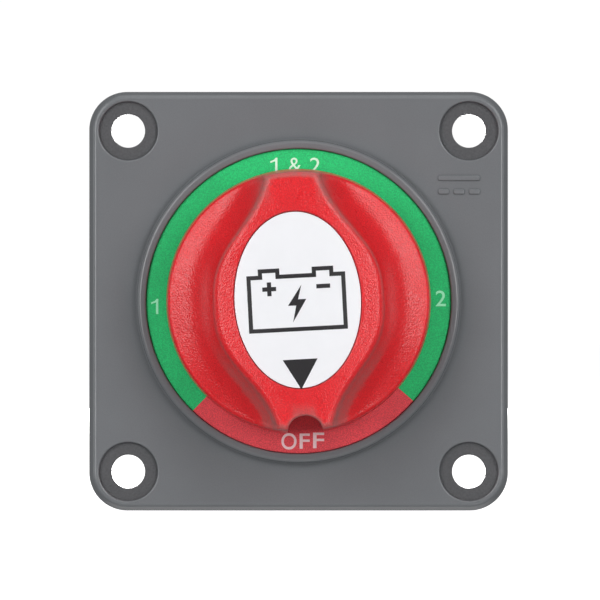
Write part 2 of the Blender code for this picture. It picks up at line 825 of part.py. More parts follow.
def grip_edge_radius(turn):
    """Distance from the axis to the grip's edge along a ray, or the knob's radius at its ends."""
    low = 0.0
    high = KNOB_R
    if abs(high * math.cos(turn)) < grip_half_width(high * math.sin(turn)):
        return KNOB_R
    for _ in range(30):
        middle = (low + high) / 2
        if abs(middle * math.cos(turn)) < grip_half_width(middle * math.sin(turn)):
            low = middle
        else:
            high = middle
    return low


def ray_radii(turn):
    """Where the rings of the knob's front cross one ray from the axis."""
    edge = grip_edge_radius(turn)
    inner_end = min(edge, KNOB_R - KNOB_EDGE)
    flat_rim = KNOB_R - KNOB_EDGE
    radii = [inner_end * share for share in (0.3, 0.6, 0.85, 0.93, 0.97, 1.0)]
    scoop_end = min(inner_end + SCOOP_WIDTH, flat_rim)
    radii += [inner_end + (scoop_end - inner_end) * share for share in (0.03, 0.15, 0.35, 0.65, 1.0)]
    radii.append((scoop_end + flat_rim) / 2)
    radii.append(flat_rim)
    return radii


def knob_body():
    """The knob's outside: a loft of rings from the axis to the rim, then down to its foot."""
    rays = 72
    bm = bmesh.new()
    middle = bm.verts.new((0, 0, grip_top(0)))
    columns = []
    for i in range(rays):
        turn = 2 * math.pi * i / rays
        column = []
        for radius in ray_radii(turn):
            u = radius * math.cos(turn)
            v = radius * math.sin(turn)
            column.append(bm.verts.new((u, v, knob_height(u, v))))
        rim_z = column[-1].co.z
        for bend in (45, 90):
            radius = KNOB_R - KNOB_EDGE * (1 - math.sin(math.radians(bend)))
            z = rim_z - KNOB_EDGE * (1 - math.cos(math.radians(bend)))
            column.append(bm.verts.new((radius * math.cos(turn), radius * math.sin(turn), z)))
        column.append(bm.verts.new((KNOB_R * math.cos(turn), KNOB_R * math.sin(turn), KNOB_BOTTOM)))
        columns.append(column)
    for column, following in zip(columns, columns[1:] + columns[:1]):
        bm.faces.new((middle, column[0], following[0]))
        for k in range(len(column) - 1):
            bm.faces.new((column[k], column[k + 1], following[k + 1], following[k]))
    bm.faces.new([column[-1] for column in reversed(columns)])
    bmesh.ops.remove_doubles(bm, verts=bm.verts, dist=MERGE)
    return mesh_object("knob", bm, RED_PLASTIC, KNOB)


def ellipse(half_x, half_y, sides=36):
    turns = [2 * math.pi * i / sides for i in range(sides)]
    return [(half_x * math.cos(t), half_y * math.sin(t)) for t in turns]


def knob_hollow():
    """The open space under the knob, around its hub."""
    floor = KNOB_BOTTOM - 1 * MM
    profile = [(HOLLOW_R, HOLLOW_TOP), (HOLLOW_R, floor), (HUB_R, floor), (HUB_R, HOLLOW_TOP)]
    return turned("knob_hollow", profile, None, KNOB, ring=True)


def knob_socket():
    """The double flat socket, square to the rotor and not to the knob."""
    play = 0.6 * MM
    radius = SHAFT_R + play
    flat = SHAFT_FLAT + play
    bend = math.degrees(math.asin(flat / radius))
    outline = arc(radius, -bend, bend, 10) + arc(radius, 180 - bend, 180 + bend, 10)
    return as_mesh(prism("knob_socket", [outline], KNOB_BOTTOM - 1 * MM, SOCKET_TOP, None, KNOB_AXIS))


def knob_cuts():
    """The pointer's notch in the edge, and the well and hole for the knob's screw."""
    bm = bmesh.new()
    notch_centre = (0, -(KNOB_R - GAP))
    add_cylinder(bm, NOTCH_R, KNOB_BOTTOM - 1 * MM, KNOB_TOP + 1 * MM, notch_centre, sides=32)
    add_cylinder(bm, SCREW_WELL_R, SCREW_WELL_Z, BADGE_FLOOR + 0.5 * MM)
    return mesh_object("knob_cuts", bm, None, KNOB)


def knob_screw_hole():
    bm = bmesh.new()
    add_cylinder(bm, SHAFT_SCREW_HOLE_R, SOCKET_TOP - 1 * MM, SCREW_WELL_Z + 1 * MM)
    return mesh_object("knob_screw_hole", bm, None, KNOB)


def badge_recess():
    play = 0.35 * MM
    outline = ellipse(BADGE_HALF[0] + play, BADGE_HALF[1] + play)
    return as_mesh(prism("badge_recess", [outline], BADGE_FLOOR, KNOB_TOP + 1 * MM, None, KNOB))


def make_knob():
    knob = knob_body()
    boolean(knob, knob_hollow(), "DIFFERENCE")
    boolean(knob, knob_socket(), "DIFFERENCE")
    boolean(knob, knob_cuts(), "DIFFERENCE")
    boolean(knob, knob_screw_hole(), "DIFFERENCE")
    boolean(knob, badge_recess(), "DIFFERENCE")


def make_knob_badge():
    """The oval plate in the grip, which follows the grip's crown."""
    bm = bmesh.new()
    rings = 4
    sides = 36
    underside = BADGE_FLOOR + GAP
    sag = BADGE_SINK
    top_rings = []
    for ring in range(1, rings + 1):
        share = ring / rings
        outline = ellipse(BADGE_HALF[0] * share, BADGE_HALF[1] * share, sides)
        top_rings.append([bm.verts.new((u, v, grip_top(u) - sag)) for u, v in outline])
    centre = bm.verts.new((0, 0, grip_top(0) - sag))
    foot = [bm.verts.new((u, v, underside)) for u, v in ellipse(*BADGE_HALF, sides)]
    for i in range(sides):
        j = (i + 1) % sides
        bm.faces.new((centre, top_rings[0][i], top_rings[0][j]))
        for inner, outer in zip(top_rings, top_rings[1:] + [foot]):
            bm.faces.new((inner[i], outer[i], outer[j], inner[j]))
    bm.faces.new(list(reversed(foot)))
    mesh_object("knob_badge", bm, WHITE_PLASTIC, KNOB)


def make_knob_screw():
    length = SCREW_WELL_Z + GAP - SHAFT_SCREW_HOLE_END - GAP
    pieces = pan_screw("knob_screw", 2 * MM, length, 4 * MM, 2.4 * MM, STEEL, KNOB_AXIS)
    for piece in pieces:
        piece.location.z = SCREW_WELL_Z + GAP


# ---------------------------------------------------------------- assembly

clear_scene()
PARTS = new_collection("battery_switch")
HELPERS = new_collection("helpers")

SWITCH = new_empty("mounting_plane", rotation=(math.pi / 2, 0, 0))
SWITCH.location.y = (KNOB_TOP + STUD_END) / 2
KNOB_AXIS = new_empty("knob_axis", parent=SWITCH)
KNOB = new_empty("knob_play", parent=KNOB_AXIS, rotation=(0, 0, KNOB_PLAY))

GREY_PLASTIC = new_material("grey_plastic", (0.16, 0.16, 0.17), 0.45)
BLACK_PLASTIC = new_material("black_plastic", (0.02, 0.02, 0.02), 0.5)
RED_PLASTIC = new_material("red_plastic", (0.70, 0.03, 0.04), 0.4)
WHITE_PLASTIC = new_material("white_plastic", (0.88, 0.88, 0.88), 0.3)
LABEL_INK = new_material("label_green", (0.02, 0.40, 0.13), 0.45)
BLACK_RUBBER = new_material("black_rubber", (0.02, 0.02, 0.02), 0.8)
STEEL = new_material("stainless_steel", (0.60, 0.60, 0.60), 0.3, 1.0)
SPRING_STEEL = new_material("spring_steel", (0.50, 0.50, 0.50), 0.35, 1.0)
TIN_PLATE = new_material("tin_plate", (0.70, 0.70, 0.68), 0.35, 1.0)
COPPER = new_material("copper", (0.80, 0.42, 0.25), 0.35, 1.0)

make_housing()
make_dial_label()
make_base()
make_seal("base_seal", BASE_SEAL_R, BASE_SEAL_TUBE_R, BASE_SEAL_Z, SWITCH)
make_base_screws()
make_terminals()
make_contact_plates()

make_knob()
make_knob_badge()
make_knob_screw()
make_rotor()
make_seal("spindle_seal", SHAFT_R - 0.6 * MM, SEAL_TUBE_R, SEAL_Z, KNOB_AXIS)
make_contact_bridge()
make_contact_springs()
make_detents()
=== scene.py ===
"""Looks for the rotary battery switch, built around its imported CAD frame.

Shapes are drawn in the switch's own axes, as in the CAD: x to the right, y up, z out of the panel
towards the user, with z = 0 on the panel's surface. finish_piece() turns them into the row frame.
"""

import json
import math

import bmesh
import bpy
from mathutils import Matrix, Vector


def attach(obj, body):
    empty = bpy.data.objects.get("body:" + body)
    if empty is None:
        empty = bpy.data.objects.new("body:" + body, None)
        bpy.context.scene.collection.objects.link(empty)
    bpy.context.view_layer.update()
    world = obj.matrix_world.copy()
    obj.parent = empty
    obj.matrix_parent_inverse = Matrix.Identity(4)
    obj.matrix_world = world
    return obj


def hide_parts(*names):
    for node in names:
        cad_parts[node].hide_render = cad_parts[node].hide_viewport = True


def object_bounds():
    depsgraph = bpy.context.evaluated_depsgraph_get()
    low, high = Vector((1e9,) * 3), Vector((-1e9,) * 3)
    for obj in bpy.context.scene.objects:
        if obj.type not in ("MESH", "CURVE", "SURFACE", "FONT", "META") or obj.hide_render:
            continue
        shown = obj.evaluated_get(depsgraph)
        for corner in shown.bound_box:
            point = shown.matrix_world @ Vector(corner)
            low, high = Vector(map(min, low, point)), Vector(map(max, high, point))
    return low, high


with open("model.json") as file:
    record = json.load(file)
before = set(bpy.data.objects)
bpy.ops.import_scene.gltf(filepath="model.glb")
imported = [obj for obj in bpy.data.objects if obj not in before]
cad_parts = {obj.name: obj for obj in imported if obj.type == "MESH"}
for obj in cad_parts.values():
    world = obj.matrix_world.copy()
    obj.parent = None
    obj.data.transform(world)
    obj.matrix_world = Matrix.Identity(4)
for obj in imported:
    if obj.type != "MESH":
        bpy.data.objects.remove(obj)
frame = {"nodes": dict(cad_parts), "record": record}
CAD_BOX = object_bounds()

MM = 0.001
GAP = 0.3 * MM
MERGE = 0.000002
FINE = 180  # sides of a large turned shape
MEDIUM = 72  # sides of a hole, washer or stud
AXIS = (0, 0)


PANEL_Y = next(m for m in frame["record"]["mounts"] if m["name"] == "panel_face")["pos_m"][1]
TO_ROW = Matrix.Translation((0, PANEL_Y, 0)) @ Matrix.Rotation(math.pi / 2, 4, "X")
KNOB_PLAY = math.radians(3)  # the knob sits this far round on its loose double flat
KNOB_TO_ROW = TO_ROW @ Matrix.Rotation(KNOB_PLAY, 4, "Z")

# Flange
PLATE_HALF = 40 * MM
PLATE_THICK = 4 * MM
PLATE_CORNER = 7.25 * MM
PLATE_UPRIGHT = 0.8 * MM  # height of the side below its sloped part
PLATE_DRAFT = 0.7 * MM  # how far the side slopes in
PLATE_EDGE = 0.8 * MM
SCREW_AT = 32.5 * MM
SCREW_HOLE_R = 3.2 * MM
SCREW_SEAT_R = 5.6 * MM
SCREW_SEAT_Z = 3.2 * MM

# Knob
KNOB_R = 25.2 * MM
KNOB_BOTTOM = 6.3 * MM
KNOB_TOP = 27.5 * MM
KNOB_EDGE = 0.8 * MM
KNOB_LEAN = 0.04  # how far the side leans in for each unit of height
GRIP_END_W = 4.6 * MM  # half width of the grip at its two ends
GRIP_BELLY = 11.45 * MM  # and how much more it has in the middle
GRIP_REACH = 16.3 * MM
GRIP_POWER = 2.8
GRIP_CROWN_R = 65 * MM
GRIP_EDGE = 1.2 * MM
SCOOP_WIDTH = 5 * MM
SHOULDER_Z = 18 * MM
SHOULDER_SLOPE = 0.36
NOTCH_R = 3.4 * MM
BADGE_HALF = (11.9 * MM, 16.6 * MM)
BADGE_AT = (-0.15 * MM, 0.25 * MM)
BADGE_SINK = 0.3 * MM
BADGE_FLOOR = 25.5 * MM

# Inside and rear
BALL_R = 2 * MM
BALL_X = 17.1 * MM
BALL_Z = -5 * MM
DETENT_SIDES = {1: 1, 2: -1}  # number: side of the axis
BODY_END = -20 * MM
BASE_SCREW_RADIUS = 23.8 * MM
BASE_SCREW_ANGLES = (60, 120, 240, 300)
STUD_RADIUS = 13.5 * MM
STUD_ANGLES = {"common": 270, "1": 150, "2": 30}
RIB_ANGLES = (90, 210, 330)
STUD_R = 5 * MM
STUD_END = -49 * MM
STUD_HEAD = (-16.6 * MM, -18.8 * MM)  # top and underside
THREAD_DEPTH = 0.85 * MM
THREAD_PITCH = 1.5 * MM
THREAD_TOP = -27.6 * MM
NUT_FACES = (-32.9 * MM, -40.9 * MM)
STUD_BORE_R = 5.35 * MM  # of the holes that a stud goes through
HEX_TILT = math.radians(30)  # of a hexagon's corners from its flats, and of their chamfers


# -------- shapes


def fillet(points, radii, steps=4):
    """A closed outline of (x, y) points with each corner rounded to its radius, in mm."""
    out = []
    count = len(points)
    for i, (point, radius) in enumerate(zip(points, radii)):
        corner = Vector(point)
        if radius == 0:
            out.append(tuple(corner * MM))
            continue
        back = (Vector(points[i - 1]) - corner).normalized()
        ahead = (Vector(points[(i + 1) % count]) - corner).normalized()
        half = back.angle(ahead) / 2
        reach = radius / math.tan(half)
        centre = corner + (back + ahead).normalized() * radius / math.sin(half)
        start = corner + back * reach - centre
        end = corner + ahead * reach - centre
        total = start.angle(end)
        for k in range(steps + 1):
            part = k / steps
            spoke = (start * math.sin((1 - part) * total) + end * math.sin(part * total)) / math.sin(total)
            out.append(tuple((centre + spoke) * MM))
    return out


def turns(count):
    return [2 * math.pi * i / count for i in range(count)]


def skin(rows, ring=False):
    """A closed mesh over rows of points. A row of one point is a tip; a ring joins last to first."""
    bm = bmesh.new()
    made = [[bm.verts.new(point) for point in row] for row in rows]
    pairs = list(zip(made, made[1:]))
    if ring:
        pairs.append((made[-1], made[0]))
    for first, second in pairs:
        count = max(len(first), len(second))
        for i in range(count):
            j = (i + 1) % count
            if len(first) == 1:
                bm.faces.new((first[0], second[j], second[i]))
            elif len(second) == 1:
                bm.faces.new((first[i], first[j], second[0]))
            else:
                bm.faces.new((first[i], first[j], second[j], second[i]))
    bmesh.ops.remove_doubles(bm, verts=bm.verts, dist=MERGE)
    bmesh.ops.recalc_face_normals(bm, faces=bm.faces)
    return bm


def in_mm(points):
    return [(x * MM, y * MM) for x, y in points]


def polar(centre, radius, turn, z):
    return (centre[0] + radius * math.cos(turn), centre[1] + radius * math.sin(turn), z)


def turned(profile, steps=FINE, ring=True, centre=AXIS):
    """A solid of revolution from (radius, z) points in metres."""
    rows = []
    for radius, z in profile:
        rows.append([polar(centre, radius, t, z) for t in (turns(steps) if radius else [0])])
    return skin(rows, ring=ring)


def cylinder(radius, z_low, z_high, centre=AXIS, steps=MEDIUM):
    profile = [(0, z_high), (radius, z_high), (radius, z_low), (0, z_low)]
    return turned(profile, steps, ring=False, centre=centre)


def on_circle(radius, angle):
    return polar(AXIS, radius, math.radians(angle), 0)[:2]


def as_mesh(name, bm):
    mesh = bpy.data.meshes.new(name)
    bm.to_mesh(mesh)
    bm.free()
    return mesh


def add_object(name, data):
    obj = bpy.data.objects.new(name, data)
    bpy.context.scene.collection.objects.link(obj)
    return obj


def solid_of(obj, merge):
    """The object's evaluated mesh as a bmesh, in place of the object."""
    graph = bpy.context.evaluated_depsgraph_get()
    graph.update()
    mesh = bpy.data.meshes.new_from_object(obj.evaluated_get(graph))
    bpy.data.objects.remove(obj, do_unlink=True)
    bm = bmesh.new()
    bm.from_mesh(mesh)
    bpy.data.meshes.remove(mesh)
    bmesh.ops.remove_doubles(bm, verts=bm.verts, dist=merge)
    return bm


def joined(meshes):
    """Several bmeshes as one."""
    whole = bmesh.new()
    for bm in meshes:
        spare = as_mesh("spare", bm)
        whole.from_mesh(spare)
        bpy.data.meshes.remove(spare)
    return whole


def carved(bm, steps):
    """The bmesh after each (operation, bmesh) step, in order."""
    for operation, tool in steps:
        target = add_object("target", as_mesh("target", bm))
        helper = add_object("tool", as_mesh("tool", tool))
        modifier = target.modifiers.new("step", "BOOLEAN")
        modifier.object = helper
        modifier.operation = operation
        modifier.solver = "EXACT"
        bm = solid_of(target, MERGE)
        bpy.data.objects.remove(helper, do_unlink=True)
    return bm


def prism(outlines, z_low, z_high):
    """A flat piece from closed outlines of (x, y) points. Outlines inside the first are holes."""
    curve = bpy.data.curves.new("outline", "CURVE")
    curve.dimensions = "2D"
    curve.fill_mode = "BOTH"
    curve.extrude = (z_high - z_low) / 2
    for outline in outlines:
        spline = curve.splines.new("POLY")
        spline.points.add(len(outline) - 1)
        for point, (x, y) in zip(spline.points, outline):
            point.co = (x, y, 0, 1)
        spline.use_cyclic_u = True
    return curve_solid(curve, (z_low + z_high) / 2)


def bevel_rim(bm, at_rim, width):
    """Rounds the edges round one end face, whose height at_rim() knows."""
    rim = [e for e in bm.edges if all(at_rim(v.co.z) for v in e.verts) and e.calc_face_angle(0) > 0.5]
    bmesh.ops.bevel(bm, geom=rim, offset=width, segments=3, profile=0.5, affect="EDGES")


def curve_solid(curve, z_middle):
    bm = solid_of(add_object("outline", curve), MERGE / 10)
    bmesh.ops.translate(bm, verts=bm.verts, vec=(0, 0, z_middle))
    return bm


def finish_piece(name, bm, material, body, replaces=None, place=TO_ROW, sharp=32):
    """Makes a bmesh a piece of the object: placed, shaded, riding on its body."""
    bm.transform(place)
    bmesh.ops.recalc_face_normals(bm, faces=bm.faces)
    mesh = as_mesh(name, bm)
    for entry in material if isinstance(material, list) else [material]:
        mesh.materials.append(entry)
    mesh.shade_smooth()
    mesh.set_sharp_from_angle(angle=math.radians(sharp))
    obj = add_object(name, mesh)
    weighted = obj.modifiers.new("normals", "WEIGHTED_NORMAL")
    weighted.keep_sharp = True
    weighted.weight = 90
    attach(obj, body)
    if replaces:
        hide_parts(replaces)


# -------- materials


def add_node(tree, kind, inputs=None, **settings):
    """A shader node. An input that is a socket is linked, and any other value is set."""
    node = tree.nodes.new("ShaderNode" + kind)
    for key, value in settings.items():
        setattr(node, key, value)
    for key, value in (inputs or {}).items():
        socket = node.inputs[key]
        if isinstance(value, bpy.types.NodeSocket):
            tree.links.new(value, socket)
        else:
            socket.default_value = value
    return node


def new_material(name):
    """An empty material, its tree and the coordinates of the piece that it is on."""
    material = bpy.data.materials.new(name)
    material.use_nodes = True
    tree = material.node_tree
    tree.nodes.clear()
    return material, tree, add_node(tree, "TexCoord").outputs["Object"]


def math_node(tree, operation, first, second=0.0, clamp=False):
    node = add_node(tree, "Math", {0: first, 1: second}, operation=operation, use_clamp=clamp)
    return node.outputs[0]


def noise(tree, coords, size_mm, detail=2.0, roughness=0.5):
    """Noise whose features are about size_mm across."""
    inputs = {"Vector": coords, "Scale": 1000 / size_mm, "Detail": detail, "Roughness": roughness}
    return add_node(tree, "TexNoise", inputs).outputs["Fac"]


def remap(tree, value, low, high, new_low, new_high):
    limits = {"From Min": low, "From Max": high, "To Min": new_low, "To Max": new_high}
    return add_node(tree, "MapRange", {"Value": value, **limits}).outputs["Result"]


def vary(tree, value, low, high, spread=0.2):
    """Noise, which stays within the spread of 0.5, as values from low to high."""
    return remap(tree, value, 0.5 - spread, 0.5 + spread, low, high)


def scaled(tree, color, shade):
    return add_node(tree, "VectorMath", {0: color, "Scale": shade}, operation="SCALE").outputs[0]


def mix_color(tree, factor, first, second):
    ends = [c if isinstance(c, bpy.types.NodeSocket) else (*c, 1) for c in (first, second)]
    return add_node(tree, "Mix", {0: factor, 6: ends[0], 7: ends[1]}, data_type="RGBA").outputs[2]


def bump(tree, height, depth_mm):
    return add_node(tree, "Bump", {"Height": height, "Distance": depth_mm * MM}).outputs["Normal"]


def edge_mask(tree, radius_mm, gain):
    """1 on sharp edges and 0 on flat ground."""
    soft = add_node(tree, "Bevel", {"Radius": radius_mm * MM}, samples=4).outputs["Normal"]
    flat = add_node(tree, "NewGeometry").outputs["Normal"]
    dot = add_node(tree, "VectorMath", {0: soft, 1: flat}, operation="DOT_PRODUCT").outputs["Value"]
    away = math_node(tree, "SUBTRACT", 1.0, dot)
    return math_node(tree, "MULTIPLY", away, gain, clamp=True)


def finish_material(material, inputs):
    tree = material.node_tree
    shader = add_node(tree, "BsdfPrincipled", inputs).outputs["BSDF"]
    add_node(tree, "OutputMaterial", {"Surface": shader})
    return material


def plastic(
    name, color, roughness, grain_mm, grain_depth, specular=0.5, patch=0.06, wear_and_light=0.25, speckle=0.04,
    crease_shade=0.0, gloss_play=0.05,
):
    """Moulded plastic: grain, slow tone patches, edges painted a little lighter as rub wear and painted
    highlight, painted shade in its creases.
    """
    material, tree, coords = new_material(name)
    slow = noise(tree, coords, 14, 3)
    grain = noise(tree, coords, grain_mm, 2, 0.6)
    tone = vary(tree, slow, 1 - patch, 1 + patch)
    speck = vary(tree, grain, 1 - speckle, 1 + speckle)
    shade = math_node(tree, "MULTIPLY", tone, speck)
    # Painted shade: the base colour is darkened in creases that ambient occlusion finds, such as the rim's
    # foot.
    if crease_shade:
        open_sky = add_node(tree, "AmbientOcclusion", {"Distance": CREASE_SHADE_REACH}, samples=8).outputs["AO"]
        shade = math_node(tree, "MULTIPLY", shade, remap(tree, open_sky, 0.45, 0.95, 1 - crease_shade, 1.0))
    # Edges are painted lighter in patches: partly rub wear, partly painted highlight on the edges.
    rub_and_highlight = edge_mask(tree, 0.35, 2.0)
    rub_and_highlight = math_node(tree, "MULTIPLY", rub_and_highlight, vary(tree, noise(tree, coords, 1.5, 3), 0.0, wear_and_light, 0.15))
    lighter = tuple(min(1.0, c * 1.5 + 0.03) for c in color)
    uneven = noise(tree, coords, 4, 4)
    return finish_material(material, {
        "Base Color": mix_color(tree, rub_and_highlight, scaled(tree, color, shade), lighter),
        "Roughness": vary(tree, uneven, roughness - gloss_play, roughness + gloss_play),
        "Specular IOR Level": specular,
        "Normal": bump(tree, grain, grain_depth),
    })


def knob_plastic():
    """Red plastic with a coarse spark-eroded grain, dull and greyed along its edges, partly as rub wear and
    partly as painted sheen, and with painted shade down its lower scoops.
    """
    material, tree, coords = new_material("knob_red")
    grain = noise(tree, coords, 0.22, 1)
    dents = noise(tree, coords, 0.32, 1)
    slow = noise(tree, coords, 12, 3)
    shade = math_node(tree, "MULTIPLY", vary(tree, slow, 0.96, 1.04), vary(tree, grain, 0.84, 1.16))
    # The wear layer holds rub wear, painted sheen on the edges and painted shade on the lower scoops.
    rubbed_sheen_and_shade = add_node(tree, "Attribute", attribute_name="wear_sheen_shade").outputs["Fac"]
    patchy = vary(tree, noise(tree, coords, 0.9, 3), 0.65, 1.0, 0.15)
    wear_and_light = math_node(tree, "MULTIPLY", rubbed_sheen_and_shade, patchy, clamp=True)
    gloss = vary(tree, noise(tree, coords, 3, 3), 0.26, 0.34)
    return finish_material(material, {
        "Base Color": mix_color(tree, wear_and_light, scaled(tree, KNOB_COLOR, shade), KNOB_DUST_SHEEN_SHADE),
        "Roughness": math_node(tree, "ADD", gloss, math_node(tree, "MULTIPLY", wear_and_light, 0.25)),
        "Specular IOR Level": KNOB_SPECULAR,
        "Normal": bump(tree, dents, KNOB_GRAIN_DEPTH),
    })


def metal(name, color, roughness, brushed=(1, 1, 1), stain=(0.3, 0.25, 0.2), stained=0.1):
    """Metal with a brushed or turned grain, slow stains and small scratches."""
    material, tree, coords = new_material(name)
    stretched = add_node(tree, "VectorMath", {0: coords, 1: brushed}, operation="MULTIPLY").outputs[0]
    lines = noise(tree, stretched, 0.25, 4, 0.6)
    slow = noise(tree, coords, 3, 4, 0.6)
    varied = scaled(tree, color, vary(tree, lines, 0.9, 1.08))
    spots = remap(tree, slow, 0.45, 0.75, 0.0, stained)
    return finish_material(material, {
        "Base Color": mix_color(tree, spots, varied, stain),
        "Metallic": 1.0,
        "Roughness": vary(tree, slow, roughness - 0.06, roughness + 0.1),
        "Normal": bump(tree, lines, 0.004),
    })


def dial_material():
    """The printed ring: green, with a red sector, under a finely grained satin film."""
    material, tree, coords = new_material("dial_label")
    parts = add_node(tree, "SeparateXYZ", {"Vector": coords})
    # Angle clockwise from straight up, so that the red sector doesn't cross the jump.
    angle = math_node(tree, "ARCTAN2", parts.outputs["X"], parts.outputs["Z"])
    start = math_node(tree, "GREATER_THAN", angle, math.radians(RED_FROM))
    end = math_node(tree, "LESS_THAN", angle, math.radians(RED_TO))
    red = math_node(tree, "MAXIMUM", start, end)
    grain = noise(tree, coords, 0.2, 1)
    slow = noise(tree, coords, 9, 3)
    shade = math_node(tree, "MULTIPLY", vary(tree, slow, 0.95, 1.05), vary(tree, grain, 0.78, 1.22))
    return finish_material(material, {
        "Base Color": scaled(tree, mix_color(tree, red, GREEN, DIAL_RED), shade),
        "Roughness": remap(tree, red, 0, 1, 0.5, 0.42),
        "Normal": bump(tree, grain, 0.05),
    })


def ink(name, color, roughness):
    """Screen printing ink, slightly uneven in tone."""
    material, tree, coords = new_material(name)
    grain = noise(tree, coords, 0.4, 3, 0.6)
    return finish_material(material, {
        "Base Color": scaled(tree, color, vary(tree, grain, 0.94, 1.05)),
        "Roughness": roughness,
        "Normal": bump(tree, grain, 0.004),
    })


def badge_material():
    """White laminated label with a very slight orange peel."""
    material, tree, coords = new_material("badge_white")
    slow = noise(tree, coords, 3, 3)
    return finish_material(material, {
        "Base Color": scaled(tree, (0.93, 0.93, 0.955), vary(tree, slow, 0.985, 1.0)),
        "Roughness": vary(tree, noise(tree, coords, 6, 3), 0.28, 0.36),
        "Coat Weight": 0.3,
        "Coat Roughness": 0.15,
        "Normal": bump(tree, slow, 0.01),
    })


RED_FROM = 131  # clockwise from the top, in degrees
RED_TO = -136
# Reach of the painted shade in creases.
CREASE_SHADE_REACH = 1.5 * MM
GREEN = (0.008, 0.60, 0.175)
DIAL_RED = (0.84, 0.07, 0.09)

# The housing carries painted shade in its creases and a little painted highlight on its edges.
HOUSING_GREY = plastic(
    "housing_grey", (0.168, 0.176, 0.185), 0.26, 0.25, 0.006, specular=0.6, patch=0.03, crease_shade=0.3,
    gloss_play=0.008,
)
# The seat floors are a darker copy of the housing grey: their rougher grain, with painted shade of the
# recess.
SEAT_GREY_AND_PAINTED_SHADE = plastic("housing_grey_seats_painted_shade", (0.077, 0.078, 0.083), 0.6, 0.45, 0.08, speckle=0.14)
KNOB_COLOR = (0.77, 0.015, 0.021)
# Dull grey of rubbed edges, also used for painted sheen and painted shade on the knob.
KNOB_DUST_SHEEN_SHADE = (0.30, 0.15, 0.14)
KNOB_SPECULAR = 0.55
KNOB_GRAIN_DEPTH = 0.085  # mm
KNOB_RED = knob_plastic()
DIAL = dial_material()
DIAL_INK = ink("dial_ink", (0.37, 1.0, 0.62), 0.5)
# The side letters' ink, painted paler and brighter for the top letters as painted light from above.
TOP_INK_PAINTED_LIGHT = ink("dial_ink_top_painted_light", (0.68, 0.98, 0.76), 0.5)
OFF_INK = ink("off_ink", (1.0, 0.74, 0.76), 0.45)
BADGE_WHITE = badge_material()
BADGE_INK = ink("badge_ink", (0.018, 0.016, 0.018), 0.4)
BASE_BLACK = plastic("base_black", (0.022, 0.022, 0.023), 0.48, 0.35, 0.015, patch=0.12, wear_and_light=0.4)
ROTOR_BLACK = plastic("rotor_black", (0.028, 0.028, 0.030), 0.40, 0.3, 0.006, wear_and_light=0.4)
RUBBER = plastic("seal_rubber", (0.018, 0.018, 0.018), 0.75, 0.15, 0.008, specular=0.3, wear_and_light=0.0)
STAINLESS = metal("stainless", (0.62, 0.61, 0.59), 0.30, brushed=(1, 0.15, 1))
SPRING_STEEL = metal("spring_steel", (0.50, 0.50, 0.51), 0.34)
TINNED = metal("tinned_copper", (0.70, 0.69, 0.66), 0.36, brushed=(1, 0.3, 1), stained=0.15)
COPPER = metal(
    "contact_copper", (0.83, 0.44, 0.29), 0.32, brushed=(0.15, 1, 1), stain=(0.28, 0.12, 0.07), stained=0.45
)


# -------- housing

BASE_SCREWS_AT = [on_circle(BASE_SCREW_RADIUS, angle) for angle in BASE_SCREW_ANGLES]


def flange_outline(inset, z):
    """The square plate's outline at one height, moved in by the inset."""
    middle = PLATE_HALF - PLATE_CORNER
    points = []
    for quarter, (sx, sy) in enumerate(((1, 1), (-1, 1), (-1, -1), (1, -1))):
        for k in range(25):
            turn = math.radians(90 * quarter + 90 * k / 24)
            points.append(polar((sx * middle, sy * middle), PLATE_CORNER - inset, turn, z))
    return points


def flange():
    foot = 0.25 * MM
    rows = [[(0, 0, 0)], flange_outline(foot, 0), flange_outline(0, foot), flange_outline(0, PLATE_UPRIGHT)]
    lean = math.atan2(PLATE_DRAFT, 2.8 * MM)
    for k in range(7):
        bend = lean + (math.pi / 2 - lean) * k / 6
        inset = PLATE_DRAFT + PLATE_EDGE * (math.cos(lean) - math.cos(bend))
        rows.append(flange_outline(inset, PLATE_THICK - PLATE_EDGE * (1 - math.sin(bend))))
    rows.append([(0, 0, PLATE_THICK)])
    return skin(rows)


def housing_core():
    """Rim, front wall with its collar, and the body's wall."""
    points = [
        (29.05, 6.5), (30.7, 6.5), (30.8, 4.35), (31.15, 3.95), (31.15, 3.4), (31.1, 2), (29.5, 1),
        (29.5, -20), (25, -20), (25, 1.3), (11, 1.3), (11, -1.6), (8.3, -1.6), (8.3, 4.3), (29.05, 4.3),
    ]
    radii = [0.4, 0.75, 0.25, 0, 0, 0, 0, 0.5, 0.2, 0.8, 0.5, 0.3, 0.3, 0.3, 0.2]
    return turned(fillet(points, radii, 5))


def seat_cutter(centre):
    """Screw hole and shallow seat, each with a rounded mouth."""
    wall = SCREW_SEAT_R / MM
    seat = SCREW_SEAT_Z / MM
    hole = SCREW_HOLE_R / MM
    mouth = 0.3
    profile = [
        (0, -1), (hole + 0.25, -1), (hole + 0.25, 0), (hole, 0.25), (hole, seat - 0.3),
        (hole + 0.08, seat - 0.1), (hole + 0.3, seat), (wall - 0.15, seat), (wall, seat + 0.15),
    ]
    for k in range(6):
        turn = math.radians(180 - 80 * k / 5)
        profile.append((wall + mouth + mouth * math.cos(turn), 4 - mouth + mouth * math.sin(turn)))
    profile += [(wall + 0.4, 4.05), (wall + 0.4, 5), (0, 5)]
    return turned(in_mm(profile), MEDIUM, ring=False, centre=centre)


def box_between(low, high, turn=0.0):
    """A box between two corners in mm, turned about the switch's axis."""
    bm = bmesh.new()
    low = Vector(low) * MM
    high = Vector(high) * MM
    place = Matrix.Translation((low + high) / 2) @ Matrix.Diagonal((*(high - low), 1))
    bmesh.ops.create_cube(bm, size=1, matrix=Matrix.Rotation(turn, 4, "Z") @ place)
    return bm


